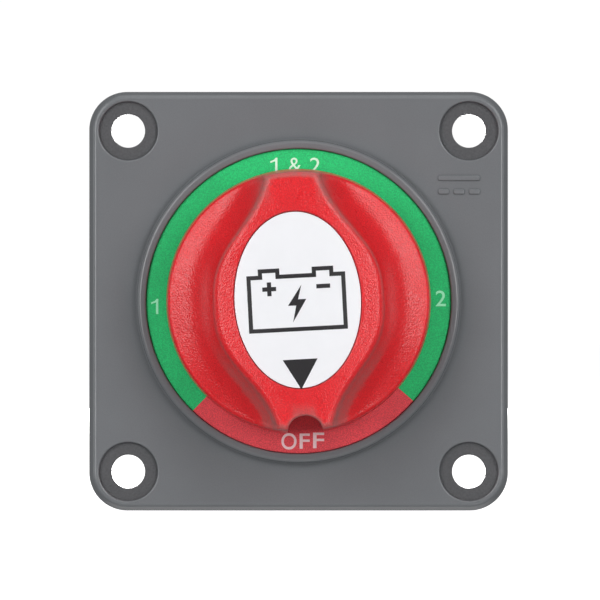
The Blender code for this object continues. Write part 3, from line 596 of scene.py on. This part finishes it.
def detent_place(side):
    """Lays a piece's z axis along the detent bore on one side."""
    return Matrix.Translation((0, 0, BALL_Z)) @ Matrix.Rotation(side * math.pi / 2, 4, "Y")


def housing_inside():
    """Blocks that hold the detent balls, and bosses for the base's screws."""
    parts = [box_between((15.6, -4.2, -8.4), (26, 4.2, 1.8), turn) for turn in (0, math.pi)]
    parts += [cylinder(3 * MM, BODY_END, 1.8 * MM, centre) for centre in BASE_SCREWS_AT]
    return joined(parts)


def housing_bores():
    parts = []
    for side in (-1, 1):
        bore = cylinder(BALL_R + 0.35 * MM, 14 * MM, 24.8 * MM, steps=36)
        bore.transform(detent_place(side))
        parts.append(bore)
    parts += [cylinder(1.8 * MM, -21 * MM, -8.2 * MM, centre, 36) for centre in BASE_SCREWS_AT]
    return joined(parts)


def is_seat_floor(face):
    centre = face.calc_center_median()
    off = math.hypot(abs(centre.x) - SCREW_AT, abs(centre.y) - SCREW_AT)
    sunk = SCREW_SEAT_Z - 0.35 * MM < centre.z < PLATE_THICK - 0.2 * MM
    return sunk and off < SCREW_SEAT_R + 0.05 * MM


def make_housing():
    ends = (-SCREW_AT, SCREW_AT)
    bm = carved(flange(), [
        ("DIFFERENCE", cylinder(28.5 * MM, -1 * MM, 5 * MM, steps=FINE)),
        ("UNION", housing_core()),
        ("UNION", housing_inside()),
        ("DIFFERENCE", housing_bores()),
        ("DIFFERENCE", joined([seat_cutter((x, y)) for x in ends for y in ends])),
    ])
    for face in bm.faces:
        face.material_index = int(is_seat_floor(face))
    finish_piece(
        "housing_moulding", bm, [HOUSING_GREY, SEAT_GREY_AND_PAINTED_SHADE], "switch_body",
        replaces="housing",
    )


def make_dc_mark():
    """A raised direct current symbol: a bar over three dashes."""
    x, y = 30.6, 22.2
    foot, top = 3.9 * MM, 4.3 * MM
    parts = []
    for left, right, up in ((-4.0, 4.0, 1.3), (-4.0, -1.9, -1.3), (-1.05, 1.05, -1.3), (1.9, 4.0, -1.3)):
        low, high = y + up - 0.5, y + up + 0.5
        outline = [(x + left, low), (x + right, low), (x + right, high), (x + left, high)]
        bm = prism([fillet(outline, [0.3] * 4, 3)], foot, top)
        bevel_rim(bm, lambda z: z > top - 0.1 * MM, 0.18 * MM)
        parts.append(bm)
    finish_piece("housing_dc_mark", joined(parts), HOUSING_GREY, "switch_body")


def make_dial():
    section = [(20.5, 5.8), (28.98, 5.8), (28.98, 4.6), (20.5, 4.6)]
    ring = turned(fillet(section, [0.1, 0.12, 0.1, 0.1], 3))
    finish_piece("dial_ring", ring, DIAL, "switch_body", replaces="dial_label")


# -------- lettering


def text_outline(text, bolder):
    """Generic sans lettering as a flat solid."""
    curve = bpy.data.curves.new("lettering", "FONT")
    curve.body = text
    curve.size = 1
    curve.resolution_u = 6
    curve.extrude = 0.02
    curve.offset = bolder
    return curve_solid(curve, 0)


def figure_one():
    """A plain 1 without a foot."""
    points = [
        (0.36, -0.5), (0.50, -0.5), (0.50, 0.5), (0.39, 0.5), (0.29, 0.37), (0.06, 0.27), (0.06, 0.15),
        (0.36, 0.27),
    ]
    return prism([points], -0.02, 0.02)


def lettering(name, bm, centre, size, material):
    """Fits the letters to a box of (width, height) about a centre, in mm, and lays them on the dial."""
    for axis in (0, 1):
        low = min(v.co[axis] for v in bm.verts)
        span = max(v.co[axis] for v in bm.verts) - low
        for v in bm.verts:
            v.co[axis] = (centre[axis] + ((v.co[axis] - low) / span - 0.5) * size[axis]) * MM
    for v in bm.verts:
        v.co.z = (5.75 if v.co.z < 0 else 5.83) * MM
    finish_piece(name, bm, material, "switch_body")


def make_lettering():
    for name, text, bolder, centre, size, material in (
        ("off_o", "O", 0.012, (-1.83, -26.70), (2.92, 3.15), OFF_INK),
        ("off_f1", "F", 0.012, (1.16, -26.66), (1.95, 2.91), OFF_INK),
        ("off_f2", "F", 0.012, (3.81, -26.52), (2.12, 2.98), OFF_INK),
        ("1_left", "1", 0, (-27.4, -1.0), (1.35, 2.9), DIAL_INK),
        ("2_right", "2", 0.008, (27.1, 0.54), (1.95, 3.0), DIAL_INK),
        ("1_top", "1", 0, (-4.7, 25.9), (1.35, 2.9), TOP_INK_PAINTED_LIGHT),
        ("and_top", "&", 0, (-0.7, 25.9), (2.3, 2.9), TOP_INK_PAINTED_LIGHT),
        ("2_top", "2", 0, (3.15, 25.9), (1.95, 2.9), TOP_INK_PAINTED_LIGHT),
    ):
        bm = figure_one() if text == "1" else text_outline(text, bolder)
        lettering("print_" + name, bm, centre, size, material)


# -------- knob


def grip_half_width(v):
    return GRIP_END_W + GRIP_BELLY * math.exp(-((abs(v) / GRIP_REACH) ** GRIP_POWER))


def grip_top(u):
    return KNOB_TOP - u * u / (2 * GRIP_CROWN_R)


def edge_drop(outside):
    """How far the grip's top has rolled over at this distance inside its edge."""
    rolled = max(0.0, 1 + outside / GRIP_EDGE)
    return GRIP_EDGE * (1 - math.sqrt(1 - rolled * rolled * 0.93))


def outside_grip(u, v):
    """Distance outside the grip's edge, below 0 inside it."""
    width = grip_half_width(v)
    step = 0.1 * MM
    slope = (grip_half_width(abs(v) + step) - width) / step
    return (abs(u) - width) / math.hypot(1, slope)


def knob_height(u, v):
    """Height of the knob's front at a point, before its outer edge is rounded."""
    outside = outside_grip(u, v)
    if outside < 0:
        return grip_top(u) - edge_drop(outside)
    into = min(1.0, outside / SCOOP_WIDTH)
    brink = grip_top(grip_half_width(v)) - edge_drop(0)
    depth = brink - SHOULDER_Z - SHOULDER_SLOPE * SCOOP_WIDTH
    wall = depth * (1 - math.sqrt(1 - (1 - into) ** 2))
    return SHOULDER_Z + wall - SHOULDER_SLOPE * (outside - SCOOP_WIDTH)


def grip_edge_radius(turn):
    """Where a ray from the axis leaves the grip."""
    low = 0.0
    high = KNOB_R
    if outside_grip(*polar(AXIS, high, turn, 0)[:2]) < 0:
        return KNOB_R
    for _ in range(40):
        middle = (low + high) / 2
        if outside_grip(*polar(AXIS, middle, turn, 0)[:2]) < 0:
            low = middle
        else:
            high = middle
    return low


def flat_rim_radius(turn):
    """Where the knob's front starts to roll over into its leaning side."""
    height = knob_height(KNOB_R * math.cos(turn), KNOB_R * math.sin(turn))
    return KNOB_R - KNOB_LEAN * (height - KNOB_BOTTOM) - KNOB_EDGE


def ray_radii(turn):
    """Where the rings of the knob's front cross one ray from the axis."""
    flat_rim = flat_rim_radius(turn)
    inner = min(grip_edge_radius(turn), flat_rim)
    roll_start = max(inner - 1.8 * MM, inner * 0.5)
    radii = [roll_start * k / 8 for k in range(1, 9)]
    radii += [roll_start + (inner - roll_start) * math.sin(math.pi / 2 * k / 10) for k in range(1, 11)]
    scoop_end = min(inner + SCOOP_WIDTH * 1.3, flat_rim)
    radii += [inner + (scoop_end - inner) * (1 - math.cos(math.pi / 2 * k / 16)) for k in range(1, 17)]
    radii += [scoop_end + (flat_rim - scoop_end) * k / 8 for k in range(1, 9)]
    return radii


def knob_shell():
    columns = []
    for t in turns(288):
        column = []
        for radius in ray_radii(t):
            u, v = radius * math.cos(t), radius * math.sin(t)
            column.append((u, v, knob_height(u, v)))
        flat_rim = flat_rim_radius(t)
        rim_z = column[-1][2]
        side = []
        for k in range(1, 7):
            bend = math.radians(15 * k)
            side.append((flat_rim + KNOB_EDGE * math.sin(bend), rim_z - KNOB_EDGE * (1 - math.cos(bend))))
        foot = 0.4 * MM
        for share in (0.12, 0.5, 1.0):
            radius = flat_rim + KNOB_EDGE + (KNOB_R - flat_rim - KNOB_EDGE) * share
            side.append((radius, rim_z - KNOB_EDGE + (KNOB_BOTTOM + foot - rim_z + KNOB_EDGE) * share))
        side.append((KNOB_R - foot, KNOB_BOTTOM))
        columns.append(column + [polar(AXIS, radius, t, z) for radius, z in side])
    rows = [[(0, 0, grip_top(0))]]
    rows += [list(row) for row in zip(*columns)]
    rows.append([(0, 0, KNOB_BOTTOM)])
    return skin(rows)


def ellipse_row(grow, height):
    """Points on the badge's outline grown by a distance, at the height given for each point."""
    row = []
    for t in turns(160):
        x = BADGE_AT[0] + (BADGE_HALF[0] + grow) * math.cos(t)
        y = BADGE_AT[1] + (BADGE_HALF[1] + grow) * math.sin(t)
        row.append((x, y, height(x)))
    return row


def lip(mouth, steps):
    """(growth, depth) round the rounded mouth of a recess, from its wall up to the surface."""
    bends = [math.radians(80 * k / (steps - 1)) for k in range(steps)]
    return [(mouth * (1 - math.cos(bend)), mouth * (1 - math.sin(bend))) for bend in bends]


def badge_recess():
    """The badge's seat, with a rounded mouth that follows the grip's crown."""
    play = 0.15 * MM
    mouth = 0.25 * MM
    rows = [[(0, 0, BADGE_FLOOR)], ellipse_row(play, lambda x: BADGE_FLOOR)]
    for grow, sink in lip(mouth, 5):
        rows.append(ellipse_row(play + grow, lambda x: grip_top(x) - sink))
    rows.append(ellipse_row(play + mouth * 1.2, lambda x: grip_top(x) + 0.1 * MM))
    rows.append(ellipse_row(play + mouth * 1.2, lambda x: KNOB_TOP + 2 * MM))
    rows.append([(0, 0, KNOB_TOP + 2 * MM)])
    return skin(rows)


def surface_at(u, v):
    """Height of the finished knob's front, with its outer edge."""
    radius = math.hypot(u, v)
    flat_rim = flat_rim_radius(math.atan2(v, u))
    if radius <= flat_rim:
        return knob_height(u, v)
    over = min(1.0, (radius - flat_rim) / KNOB_EDGE)
    scale = flat_rim / radius
    return knob_height(u * scale, v * scale) - KNOB_EDGE * (1 - math.sqrt(1 - over * over))


def notch_cutter():
    """The pointer's notch in the edge, with a rounded lip that follows the knob's front."""
    centre = (0, -(KNOB_R - GAP))
    mouth = 0.4 * MM

    def row(grow, sink=None, z=None):
        points = [polar(centre, NOTCH_R + grow, t, z) for t in turns(96)]
        return points if sink is None else [(x, y, surface_at(x, y) - sink) for x, y, _ in points]

    rows = [[(*centre, KNOB_BOTTOM - 1 * MM)], row(0, z=KNOB_BOTTOM - 1 * MM)]
    rows += [row(grow, sink=sink) for grow, sink in lip(mouth, 6)]
    rows.append(row(mouth * 1.2, sink=-0.1 * MM))
    rows.append(row(mouth * 1.2, z=KNOB_TOP + 2 * MM))
    rows.append([(*centre, KNOB_TOP + 2 * MM)])
    return skin(rows)


def knob_hollow():
    """The space round the knob's hub."""
    return turned(fillet([(20.5, 14), (20.5, 5.3), (12, 5.3), (12, 14)], [0.6, 0, 0, 0.6], 3), MEDIUM)


def knob_socket():
    """The double flat socket, square to the rotor and not to the knob."""
    radius = 8.2 * MM
    flat = 6.2 * MM
    bend = math.degrees(math.asin(flat / radius))
    shares = [k / 8 - 1 for k in range(17)]
    outline = [on_circle(radius, side + bend * share) for side in (0, 180) for share in shares]
    bm = prism([outline], KNOB_BOTTOM - 1 * MM, 17.3 * MM)
    bm.transform(Matrix.Rotation(-KNOB_PLAY, 4, "Z"))
    return bm


def knob_wear_sheen_and_shade(point):
    """How much dull grey is painted here: rub wear with painted sheen along the grip's edges, over its ends
    and round the notch, and painted shade down the lower scoops.
    """
    u, v = point.x, point.y
    if point.z < 20 * MM:
        return 0.0
    outside = outside_grip(u, v)
    along = min(1.0, abs(v) / KNOB_R)
    spread = (0.16 + 0.75 * along * along) * MM
    centre = (-0.05 - 0.35 * along if v > 0 else 0.4 * along) * MM
    ridge = (0.35 + 0.5 * along) * math.exp(-(((outside - centre) / spread) ** 2))
    # Below the axis a band of painted shade, in the same dull grey, also runs down the scoop's wall.
    low = min(1.0, max(0.0, (-v / KNOB_R - 0.25) / 0.3))
    painted_shade_band = 0.5 * low * math.exp(-(((outside - 1.2 * MM) / (1.5 * MM)) ** 2)) if outside > 0 else 0.0
    over_end = min(1.0, max(0.0, (math.hypot(u, v) - 23.2 * MM) / (0.5 * MM)))
    end = 0.6 * over_end * min(1.0, max(0.0, 1 - outside / (1.5 * MM)))
    from_lip = math.hypot(u, v + KNOB_R - GAP) - NOTCH_R
    lip_wear_and_sheen = 0.75 * math.exp(-((from_lip / (0.5 * MM)) ** 2))
    return max(ridge, painted_shade_band, end, lip_wear_and_sheen)


def make_knob():
    cutters = [
        knob_hollow(),
        knob_socket(),
        notch_cutter(),
        cylinder(2.35 * MM, 16.3 * MM, 21.5 * MM),  # the knob screw's hole
        badge_recess(),
        cylinder(5 * MM, 20.5 * MM, BADGE_FLOOR + 0.5 * MM),  # and its head's well
    ]
    bm = carved(knob_shell(), [("DIFFERENCE", cutter) for cutter in cutters])
    # Rub wear, painted sheen and painted shade, kept on the vertices for the knob's material.
    layer = bm.verts.layers.float.new("wear_sheen_shade")
    for v in bm.verts:
        v[layer] = knob_wear_sheen_and_shade(v.co)
    finish_piece(
        "knob_moulding", bm, KNOB_RED, "rotor", place=KNOB_TO_ROW, replaces="knob",
        sharp=40,
    )


def badge_height(x):
    return grip_top(x) - BADGE_SINK


def make_badge():
    edge = 0.1 * MM
    top = ellipse_row(-edge, badge_height)
    rows = [[(0, 0, badge_height(0))]]
    for k in range(1, 12):
        rows.append([(x * k / 12, y * k / 12, badge_height(x * k / 12)) for x, y, _ in top])
    for k in range(4):
        bend = math.radians(30 * k)
        drop = edge * (1 - math.cos(bend))
        rows.append(ellipse_row(-edge * (1 - math.sin(bend)), lambda x: badge_height(x) - drop))
    underside = BADGE_FLOOR + GAP
    rows.append(ellipse_row(0, lambda x: underside))
    rows.append([(0, 0, underside)])
    finish_piece(
        "badge_plate", skin(rows), BADGE_WHITE, "rotor", place=KNOB_TO_ROW, replaces="knob_badge",
    )


def draped(outlines):
    """A thin flat print laid over the badge's crown, cut every 1 mm so that it can bend."""
    bm = prism([in_mm(outline) for outline in outlines], -0.02 * MM, 0.02 * MM)
    reach = int(max(v.co.x for v in bm.verts) / MM) + 1
    for k in range(-reach, reach + 1):
        geometry = bm.verts[:] + bm.edges[:] + bm.faces[:]
        bmesh.ops.bisect_plane(bm, geom=geometry, plane_co=(k * MM, 0, 0), plane_no=(1, 0, 0))
    for v in bm.verts:
        v.co.z += badge_height(v.co.x)
    return bm


def make_badge_print():
    """A battery outline with its plus and minus signs, a lightning bolt and a pointer."""
    def moved(points, by=(-0.28, -0.23)):
        return [(x + by[0], y + by[1]) for x, y in points]

    def battery(inset):
        side, top, post_top = 9.3 - inset, 5.4 - inset, 6.58 - inset
        half = [
            (side, -top), (side, top), (7.1 - inset, top), (7.1 - inset, post_top),
            (3.05 + inset, post_top), (3.05 + inset, top),
        ]
        return moved(half + [(-x, y) for x, y in reversed(half)])

    bolt = [(0.95, 3.3), (-1.75, -0.55), (-0.2, -0.55), (-0.95, -3.7), (1.75, 0.6), (0.2, 0.6)]
    arm, bar = 1.3, 0.4
    plus = [
        (-bar, -arm), (bar, -arm), (bar, -bar), (arm, -bar), (arm, bar), (bar, bar),
        (bar, arm), (-bar, arm), (-bar, bar), (-arm, bar), (-arm, -bar), (-bar, -bar),
    ]
    minus = [(-arm, -bar), (arm, -bar), (arm, bar), (-arm, bar)]
    shapes = {
        "print_battery": [battery(0), battery(0.78)],
        "print_bolt": [moved(bolt)],
        "print_plus": [moved(plus, (-5.4, 2.52))],
        "print_minus": [moved(minus, (4.78, 2.63))],
        "print_pointer": [[(-3.56, -10.91), (-0.33, -16.58), (3.02, -10.91)]],
    }
    for name, outlines in shapes.items():
        finish_piece(name, draped(outlines), BADGE_INK, "rotor", place=KNOB_TO_ROW)


# -------- base and terminals


def base_disc():
    """The base with its pivot hole, the island under the contacts and the O-ring's groove."""
    points = [
        (0, -18.9), (3.9, -18.9), (3.9, -16.6), (20.3, -16.6), (20.3, -20.3), (26.15, -20.3),
        (26.15, -22.25), (28.45, -22.25), (28.45, -20.06), (29.5, -20.06), (29.5, -26.3), (0, -26.3),
    ]
    radii = [0, 0, 0.3, 0.4, 0, 0, 0, 0, 0, 0.2, 0.8, 0]
    return turned(fillet(points, radii, 5), ring=False)


def barrier_ribs():
    half = 1.0
    reach = 28.0
    end = -36 * MM
    outline = []
    for angle in RIB_ANGLES:
        along = Vector(on_circle(1, angle))
        across = Vector((-along.y, along.x))
        root = along * half / math.tan(math.radians(60))
        outline += [along * reach - across * half, along * reach + across * half, root + across * half]
    bm = prism([fillet(outline, [0.9, 0.9, 1.2] * 3, 4)], end, -25.3 * MM)
    bevel_rim(bm, lambda z: z < end + 0.1 * MM, 0.35 * MM)
    return bm


def hexagon(flats_mm, z_low, z_high, centre, turn):
    corner = flats_mm * MM / 2 / math.cos(HEX_TILT)
    bm = bmesh.new()
    place = Matrix.Translation((*centre, (z_low + z_high) / 2)) @ Matrix.Rotation(turn + HEX_TILT, 4, "Z")
    bmesh.ops.create_cone(
        bm, cap_ends=True, segments=6, radius1=corner, radius2=corner, depth=z_high - z_low, matrix=place
    )
    return bm


def make_base():
    boss = fillet([(0, -25.8), (8, -25.8), (8, -27.8), (0, -27.8)], [0, 0, 0.5, 0], 5)
    bosses, bores, recesses = [], [], []
    for angle in STUD_ANGLES.values():
        centre = on_circle(STUD_RADIUS, angle)
        bosses.append(turned(boss, MEDIUM, ring=False, centre=centre))
        bores.append(cylinder(STUD_BORE_R, -28.8 * MM, -18.8 * MM, centre))
        recesses.append(hexagon(12.7, -19.1 * MM, -15.6 * MM, centre, math.radians(angle)))
    steps = [
        ("UNION", joined(bosses)),
        ("UNION", barrier_ribs()),
        ("DIFFERENCE", joined(bores)),
        ("DIFFERENCE", joined(recesses)),
    ]
    well = in_mm([
        (0, -19.3), (1.8, -19.3), (1.8, -23.8), (3.05, -23.8), (3.05, -26.05), (3.3, -26.31),
        (3.3, -27.3), (0, -27.3),
    ])
    for centre in BASE_SCREWS_AT:
        steps.append(("DIFFERENCE", turned(well, MEDIUM, ring=False, centre=centre)))
    bm = carved(base_disc(), steps)
    finish_piece("base_moulding", bm, BASE_BLACK, "switch_body", replaces="base")


def hexed(flats):
    """Distance from the middle to a hexagon's side at each turn, with a flat facing 0 degrees."""
    def radius(turn):
        within = (turn + HEX_TILT) % (2 * HEX_TILT) - HEX_TILT
        return flats / 2 / math.cos(within)

    return radius


def rows_about(angle, steps):
    """Makes rows of points about one stud's axis. Radius and z may depend on the turn."""
    centre = on_circle(STUD_RADIUS, angle)
    spin = math.radians(angle)

    def row(radius, z):
        points = []
        for t in turns(steps):
            r = radius(t) if callable(radius) else radius
            points.append(polar(centre, r, t + spin, z(t) if callable(z) else z))
        return points

    return centre, row


def thread_radius(below, turn):
    """Radius of the stud's thread this far below its start, at this turn."""
    shape = [1.0, 1.0, 0.67, 0.33, 0.0, 0.0, 0.33, 0.67]
    phase = (below / THREAD_PITCH + turn / (2 * math.pi)) * len(shape)
    low = math.floor(phase)
    share = phase - low
    height = shape[low % len(shape)] * (1 - share) + shape[(low + 1) % len(shape)] * share
    tip = 3.9 * MM + max(0.0, THREAD_TOP - STUD_END - below)
    return min(STUD_R - THREAD_DEPTH * (1 - height), tip)


def make_stud(name, angle):
    centre, row = rows_about(angle, MEDIUM)
    head = hexed(12 * MM)
    head_top, head_low = STUD_HEAD
    rivet_top = -14.5 * MM
    face_r = 5.7 * MM
    rows = [
        [(*centre, rivet_top)],
        row(1.9 * MM, rivet_top),
        row(2.2 * MM, rivet_top - 0.3 * MM),
        row(2.2 * MM, head_top),
        row(face_r, head_top),
        row(head, lambda t: head_top - (head(t) - face_r) * 0.5),
        row(head, head_low),
        row(STUD_R, head_low),
        row(STUD_R, THREAD_TOP + 0.6 * MM),
        row(STUD_R - THREAD_DEPTH, THREAD_TOP),
    ]
    length = THREAD_TOP - STUD_END
    step = THREAD_PITCH / 8
    for k in range(1, math.ceil(length / step) + 1):
        below = k * step
        rows.append(row(lambda t: thread_radius(below, t), max(STUD_END, THREAD_TOP - below)))
    rows.append([(*centre, STUD_END)])
    finish_piece(
        "stud_" + name, skin(rows), TINNED, "switch_body", replaces="terminal_stud_" + name,
        sharp=50,
    )


def make_nut(name, angle):
    _, row = rows_about(angle, 96)
    sides = hexed(16 * MM)
    mouth = 0.5 * MM
    face_r = 7.6 * MM
    high, low = NUT_FACES

    def corner_drop(t):
        return (sides(t) - face_r) * math.tan(HEX_TILT)

    rows = [
        row(STUD_BORE_R, high - mouth),
        row(STUD_BORE_R + mouth, high),
        row(face_r, high),
        row(sides, lambda t: high - corner_drop(t)),
        row(sides, lambda t: low + corner_drop(t)),
        row(face_r, low),
        row(STUD_BORE_R + mouth, low),
        row(STUD_BORE_R, low + mouth),
    ]
    finish_piece(
        "nut_" + name, skin(rows, ring=True), STAINLESS, "switch_body",
        replaces="terminal_nut_" + name, sharp=25,
    )


def make_washers(name, angle):
    """A flat washer, and a spring washer with its slanting split."""
    centre = on_circle(STUD_RADIUS, angle)
    outline = fillet([(10, -28.1), (10, -30.1), (5.35, -30.1), (5.35, -28.1)], [0.35, 0.15, 0.15, 0.35], 4)
    finish_piece(
        "washer_" + name, turned(outline, 96, centre=centre), STAINLESS, "switch_body",
        replaces="flat_washer_" + name,
    )
    section = fillet([(9, -30.4), (9, -32.6), (5.35, -32.6), (5.35, -30.4)], [0.3] * 4, 3)
    half_split = 0.75 * MM
    sweep = 100
    rows = []
    for k in range(sweep + 1):
        row = []
        for radius, z in section:
            lean = (z + 31.5 * MM) * math.tan(HEX_TILT) / radius
            margin = half_split / radius
            turn = lean + margin + (2 * math.pi - 2 * margin) * k / sweep
            row.append(polar(centre, radius, turn, z))
        rows.append(row)
    bm = skin(rows)
    bmesh.ops.holes_fill(bm, edges=[e for e in bm.edges if e.is_boundary], sides=0)
    finish_piece(
        "spring_washer_" + name, bm, SPRING_STEEL, "switch_body", replaces="lock_washer_" + name,
    )


def pan_screw(shank, length, head, height):
    """A slotted pan head screw in mm, with its seat at z = 0 and its head above."""
    profile = [(0, height)]
    for k in range(1, 7):
        bend = math.radians(15 * k)
        profile.append((head * math.sin(bend), height - height * 0.55 * (1 - math.cos(bend))))
    profile += [(head, 0.1), (head - 0.1, 0), (shank, 0)]
    pitch = 0.5 if shank > 1.6 else 0.45
    z = -0.6
    while z - pitch > -length + shank:
        profile += [(shank, z), (shank - 0.44 * pitch, z - pitch / 2)]
        z -= pitch
    profile += [(shank, z), (shank * 0.4, -length), (0, -length)]
    body = turned(in_mm(profile), 48, ring=False)
    slot = box_between((-head * 1.5, -head * 0.15, height * 0.45), (head * 1.5, head * 0.15, height * 1.6))
    return carved(body, [("DIFFERENCE", slot)])


def make_screws():
    for number, centre in enumerate(BASE_SCREWS_AT, start=1):
        place = Matrix.Translation((*centre, -24.1 * MM)) @ Matrix.Rotation(math.pi, 4, "X")
        place = TO_ROW @ place @ Matrix.Rotation(math.radians(35 * number), 4, "Z")
        finish_piece(
            f"rear_screw_{number}", pan_screw(1.5, 15.6, 2.7, 2.0), STAINLESS, "switch_body", place=place,
            replaces=f"base_screw_{number}",
        )
    place = TO_ROW @ Matrix.Translation((0, 0, 20.8 * MM))
    finish_piece(
        "centre_screw", pan_screw(2, 16.5, 4, 2.4), STAINLESS, "rotor", place=place,
        replaces="knob_screw",
    )


# -------- inside pieces


def make_coil(name, node, radius, wire, low, high, place, body):
    """A compression spring with closed ends, along +z."""
    coils = 5
    total = coils * 32
    points = []
    for k in range(total + 1):
        share = k / total
        eased = share * share * (3 - 2 * share) * 0.35 + share * 0.65
        z = low + wire + (high - low - 2 * wire) * eased
        points.append(Vector(polar(AXIS, radius, 2 * math.pi * coils * share, z)))
    rows = [[points[0]]]
    for k, point in enumerate(points):
        along = (points[min(total, k + 1)] - points[max(0, k - 1)]).normalized()
        side = along.cross(Vector((point.x, point.y, 0))).normalized()
        out = side.cross(along).normalized()
        rows.append([point + (out * math.cos(t) + side * math.sin(t)) * wire for t in turns(10)])
    rows.append([points[-1]])
    finish_piece(
        name, skin(rows), SPRING_STEEL, body, place=TO_ROW @ place, replaces=node
    )


def make_springs():
    for number, angle in enumerate((240, 300), start=1):
        place = Matrix.Translation((*on_circle(11.2 * MM, angle), 0))
        make_coil(
            f"bridge_coil_{number}", f"contact_spring_{number}", 1.9 * MM, 0.3 * MM, -11.7 * MM, -4.8 * MM,
            place, "rotor",
        )
    for number, side in DETENT_SIDES.items():
        make_coil(
            f"detent_coil_{number}", f"detent_spring_{number}", 1.7 * MM, 0.25 * MM, 19.4 * MM, 24.5 * MM,
            detent_place(side), "switch_body",
        )


def make_balls():
    for number, side in DETENT_SIDES.items():
        bm = bmesh.new()
        bmesh.ops.create_icosphere(bm, subdivisions=4, radius=BALL_R)
        finish_piece(
            f"ball_{number}", bm, STAINLESS, f"detent_ball_{number}",
            place=TO_ROW @ Matrix.Translation((side * BALL_X, 0, BALL_Z)),
            replaces=f"detent_ball_{number}",
        )


def dress_cad_node(name, material, soften=0.0):
    """Gives a CAD node that stays its finish, and breaks its sharp edges by this many mm."""
    node = frame["nodes"][name]
    node.data.materials.clear()
    node.data.materials.append(material)
    if soften:
        bevel = node.modifiers.new("soften", "BEVEL")
        bevel.width = soften * MM
        bevel.segments = 2
        bevel.limit_method = "ANGLE"
        bevel.angle_limit = math.radians(40)


# -------- studio

AMBIENT = 0.17
BACKDROP = 1.02
FLOOR_GLOW = 0.88
CAMERA_DISTANCE = 1.6
FIELD = 114.45 * MM  # width of the picture at the front of the flange
CAMERA_SHIFT = (0.27 * MM, 0.23 * MM)


def light(name, position, size, power):
    """A soft rectangular light, turned to the switch."""
    data = bpy.data.lights.new(name, "AREA")
    data.shape = "RECTANGLE"
    data.size, data.size_y = size
    data.energy = power
    obj = add_object(name, data)
    obj.location = position
    target = Vector((0, -0.01, 0))
    obj.rotation_euler = (target - Vector(position)).to_track_quat("-Z", "Y").to_euler()
    obj.visible_camera = False


def around(azimuth, elevation, distance):
    """A point seen from the switch at this azimuth (0 in front, + to the right) and elevation."""
    a, e = math.radians(azimuth), math.radians(elevation)
    level = distance * math.cos(e)
    return (level * math.sin(a), -level * math.cos(a), distance * math.sin(e))


def make_world():
    world = bpy.data.worlds.new("studio")
    bpy.context.scene.world = world
    world.use_nodes = True
    tree = world.node_tree
    tree.nodes.clear()
    seen = add_node(tree, "LightPath").outputs["Is Camera Ray"]
    ambient = add_node(tree, "Background", {"Color": (0.95, 0.97, 1.0, 1), "Strength": AMBIENT})
    backdrop = add_node(tree, "Background", {"Color": (1, 1, 1, 1), "Strength": BACKDROP})
    mix = add_node(tree, "MixShader", {0: seen, 1: ambient.outputs[0], 2: backdrop.outputs[0]})
    add_node(tree, "OutputWorld", {"Surface": mix.outputs[0]})


def floor_material():
    """A pale floor that is bright to the camera and keeps a soft contact shadow."""
    material, tree, coords = new_material("floor")
    shade = vary(tree, noise(tree, coords, 40, 3), 0.98, 1.0)
    diffuse = add_node(tree, "BsdfDiffuse", {"Color": scaled(tree, (0.8, 0.8, 0.8), shade)})
    glow = add_node(tree, "Emission", {"Color": (1, 1, 1, 1), "Strength": FLOOR_GLOW})
    bright = add_node(tree, "AddShader", {0: diffuse.outputs[0], 1: glow.outputs[0]})
    add_node(tree, "OutputMaterial", {"Surface": bright.outputs[0]})
    return material


def make_floor():
    bm = bmesh.new()
    bmesh.ops.create_circle(bm, cap_ends=True, segments=96, radius=6.0)
    bmesh.ops.translate(bm, verts=bm.verts, vec=(0, 0, CAD_BOX[0].z - 0.2 * MM))
    floor = add_object("floor", as_mesh("floor", bm))
    floor.data.materials.append(floor_material())
    # The lights reach down past the floor, so only the camera sees it.
    floor.visible_shadow = False
    floor.visible_diffuse = False
    floor.visible_glossy = False


def make_camera():
    data = bpy.data.cameras.new("camera")
    data.sensor_width = 36
    data.lens = 36 * CAMERA_DISTANCE / FIELD
    data.clip_start = 0.05
    data.clip_end = 50
    camera = add_object("camera", data)
    front = PANEL_Y - PLATE_THICK
    camera.location = (CAMERA_SHIFT[0], front - CAMERA_DISTANCE, CAMERA_SHIFT[1])
    camera.rotation_euler = (math.pi / 2, 0, 0)
    bpy.context.scene.camera = camera


def make_lights():
    sides = (("left", -1), ("right", 1))
    for name, side in sides:
        light("softbox_" + name, around(36 * side, 14, 1.3), (0.5, 1.0), 8.0)
    light("fill_top", around(0, 45, 0.7), (0.5, 0.25), 0.65)
    light("fill_low", around(0, -30, 2.0), (1.2, 0.5), 2)
    light("bounce_low", around(0, -80, 1.2), (1.2, 1.0), 1.8)
    for name, side in sides:
        light("side_" + name, around(100 * side, 0, 1.5), (0.6, 0.6), 1.2)
    # Behind the panel's plane these reach the back, and only the flange's sloped sides in front.
    light("rear_key", around(180, 5, 1.5), (0.5, 0.5), 11)
    light("rear_top", around(180, 68, 1.5), (1.0, 0.6), 4)
    light("rear_low", around(180, -45, 1.3), (1.2, 0.8), 1.7)


# -------- scene

make_housing()
make_dc_mark()
make_dial()
make_lettering()
make_knob()
make_badge()
make_badge_print()
make_base()
for terminal, terminal_angle in STUD_ANGLES.items():
    make_stud(terminal, terminal_angle)
    make_nut(terminal, terminal_angle)
    make_washers(terminal, terminal_angle)
make_screws()
make_springs()
make_balls()
dress_cad_node("rotor", ROTOR_BLACK, 0.15)
dress_cad_node("spindle_seal", RUBBER)
dress_cad_node("base_seal", RUBBER)
dress_cad_node("contact_bridge", COPPER, 0.2)
for terminal in STUD_ANGLES:
    dress_cad_node("contact_plate_" + terminal, COPPER, 0.2)

make_world()
make_floor()
make_lights()
make_camera()
bpy.context.scene.view_settings.view_transform = "Standard"
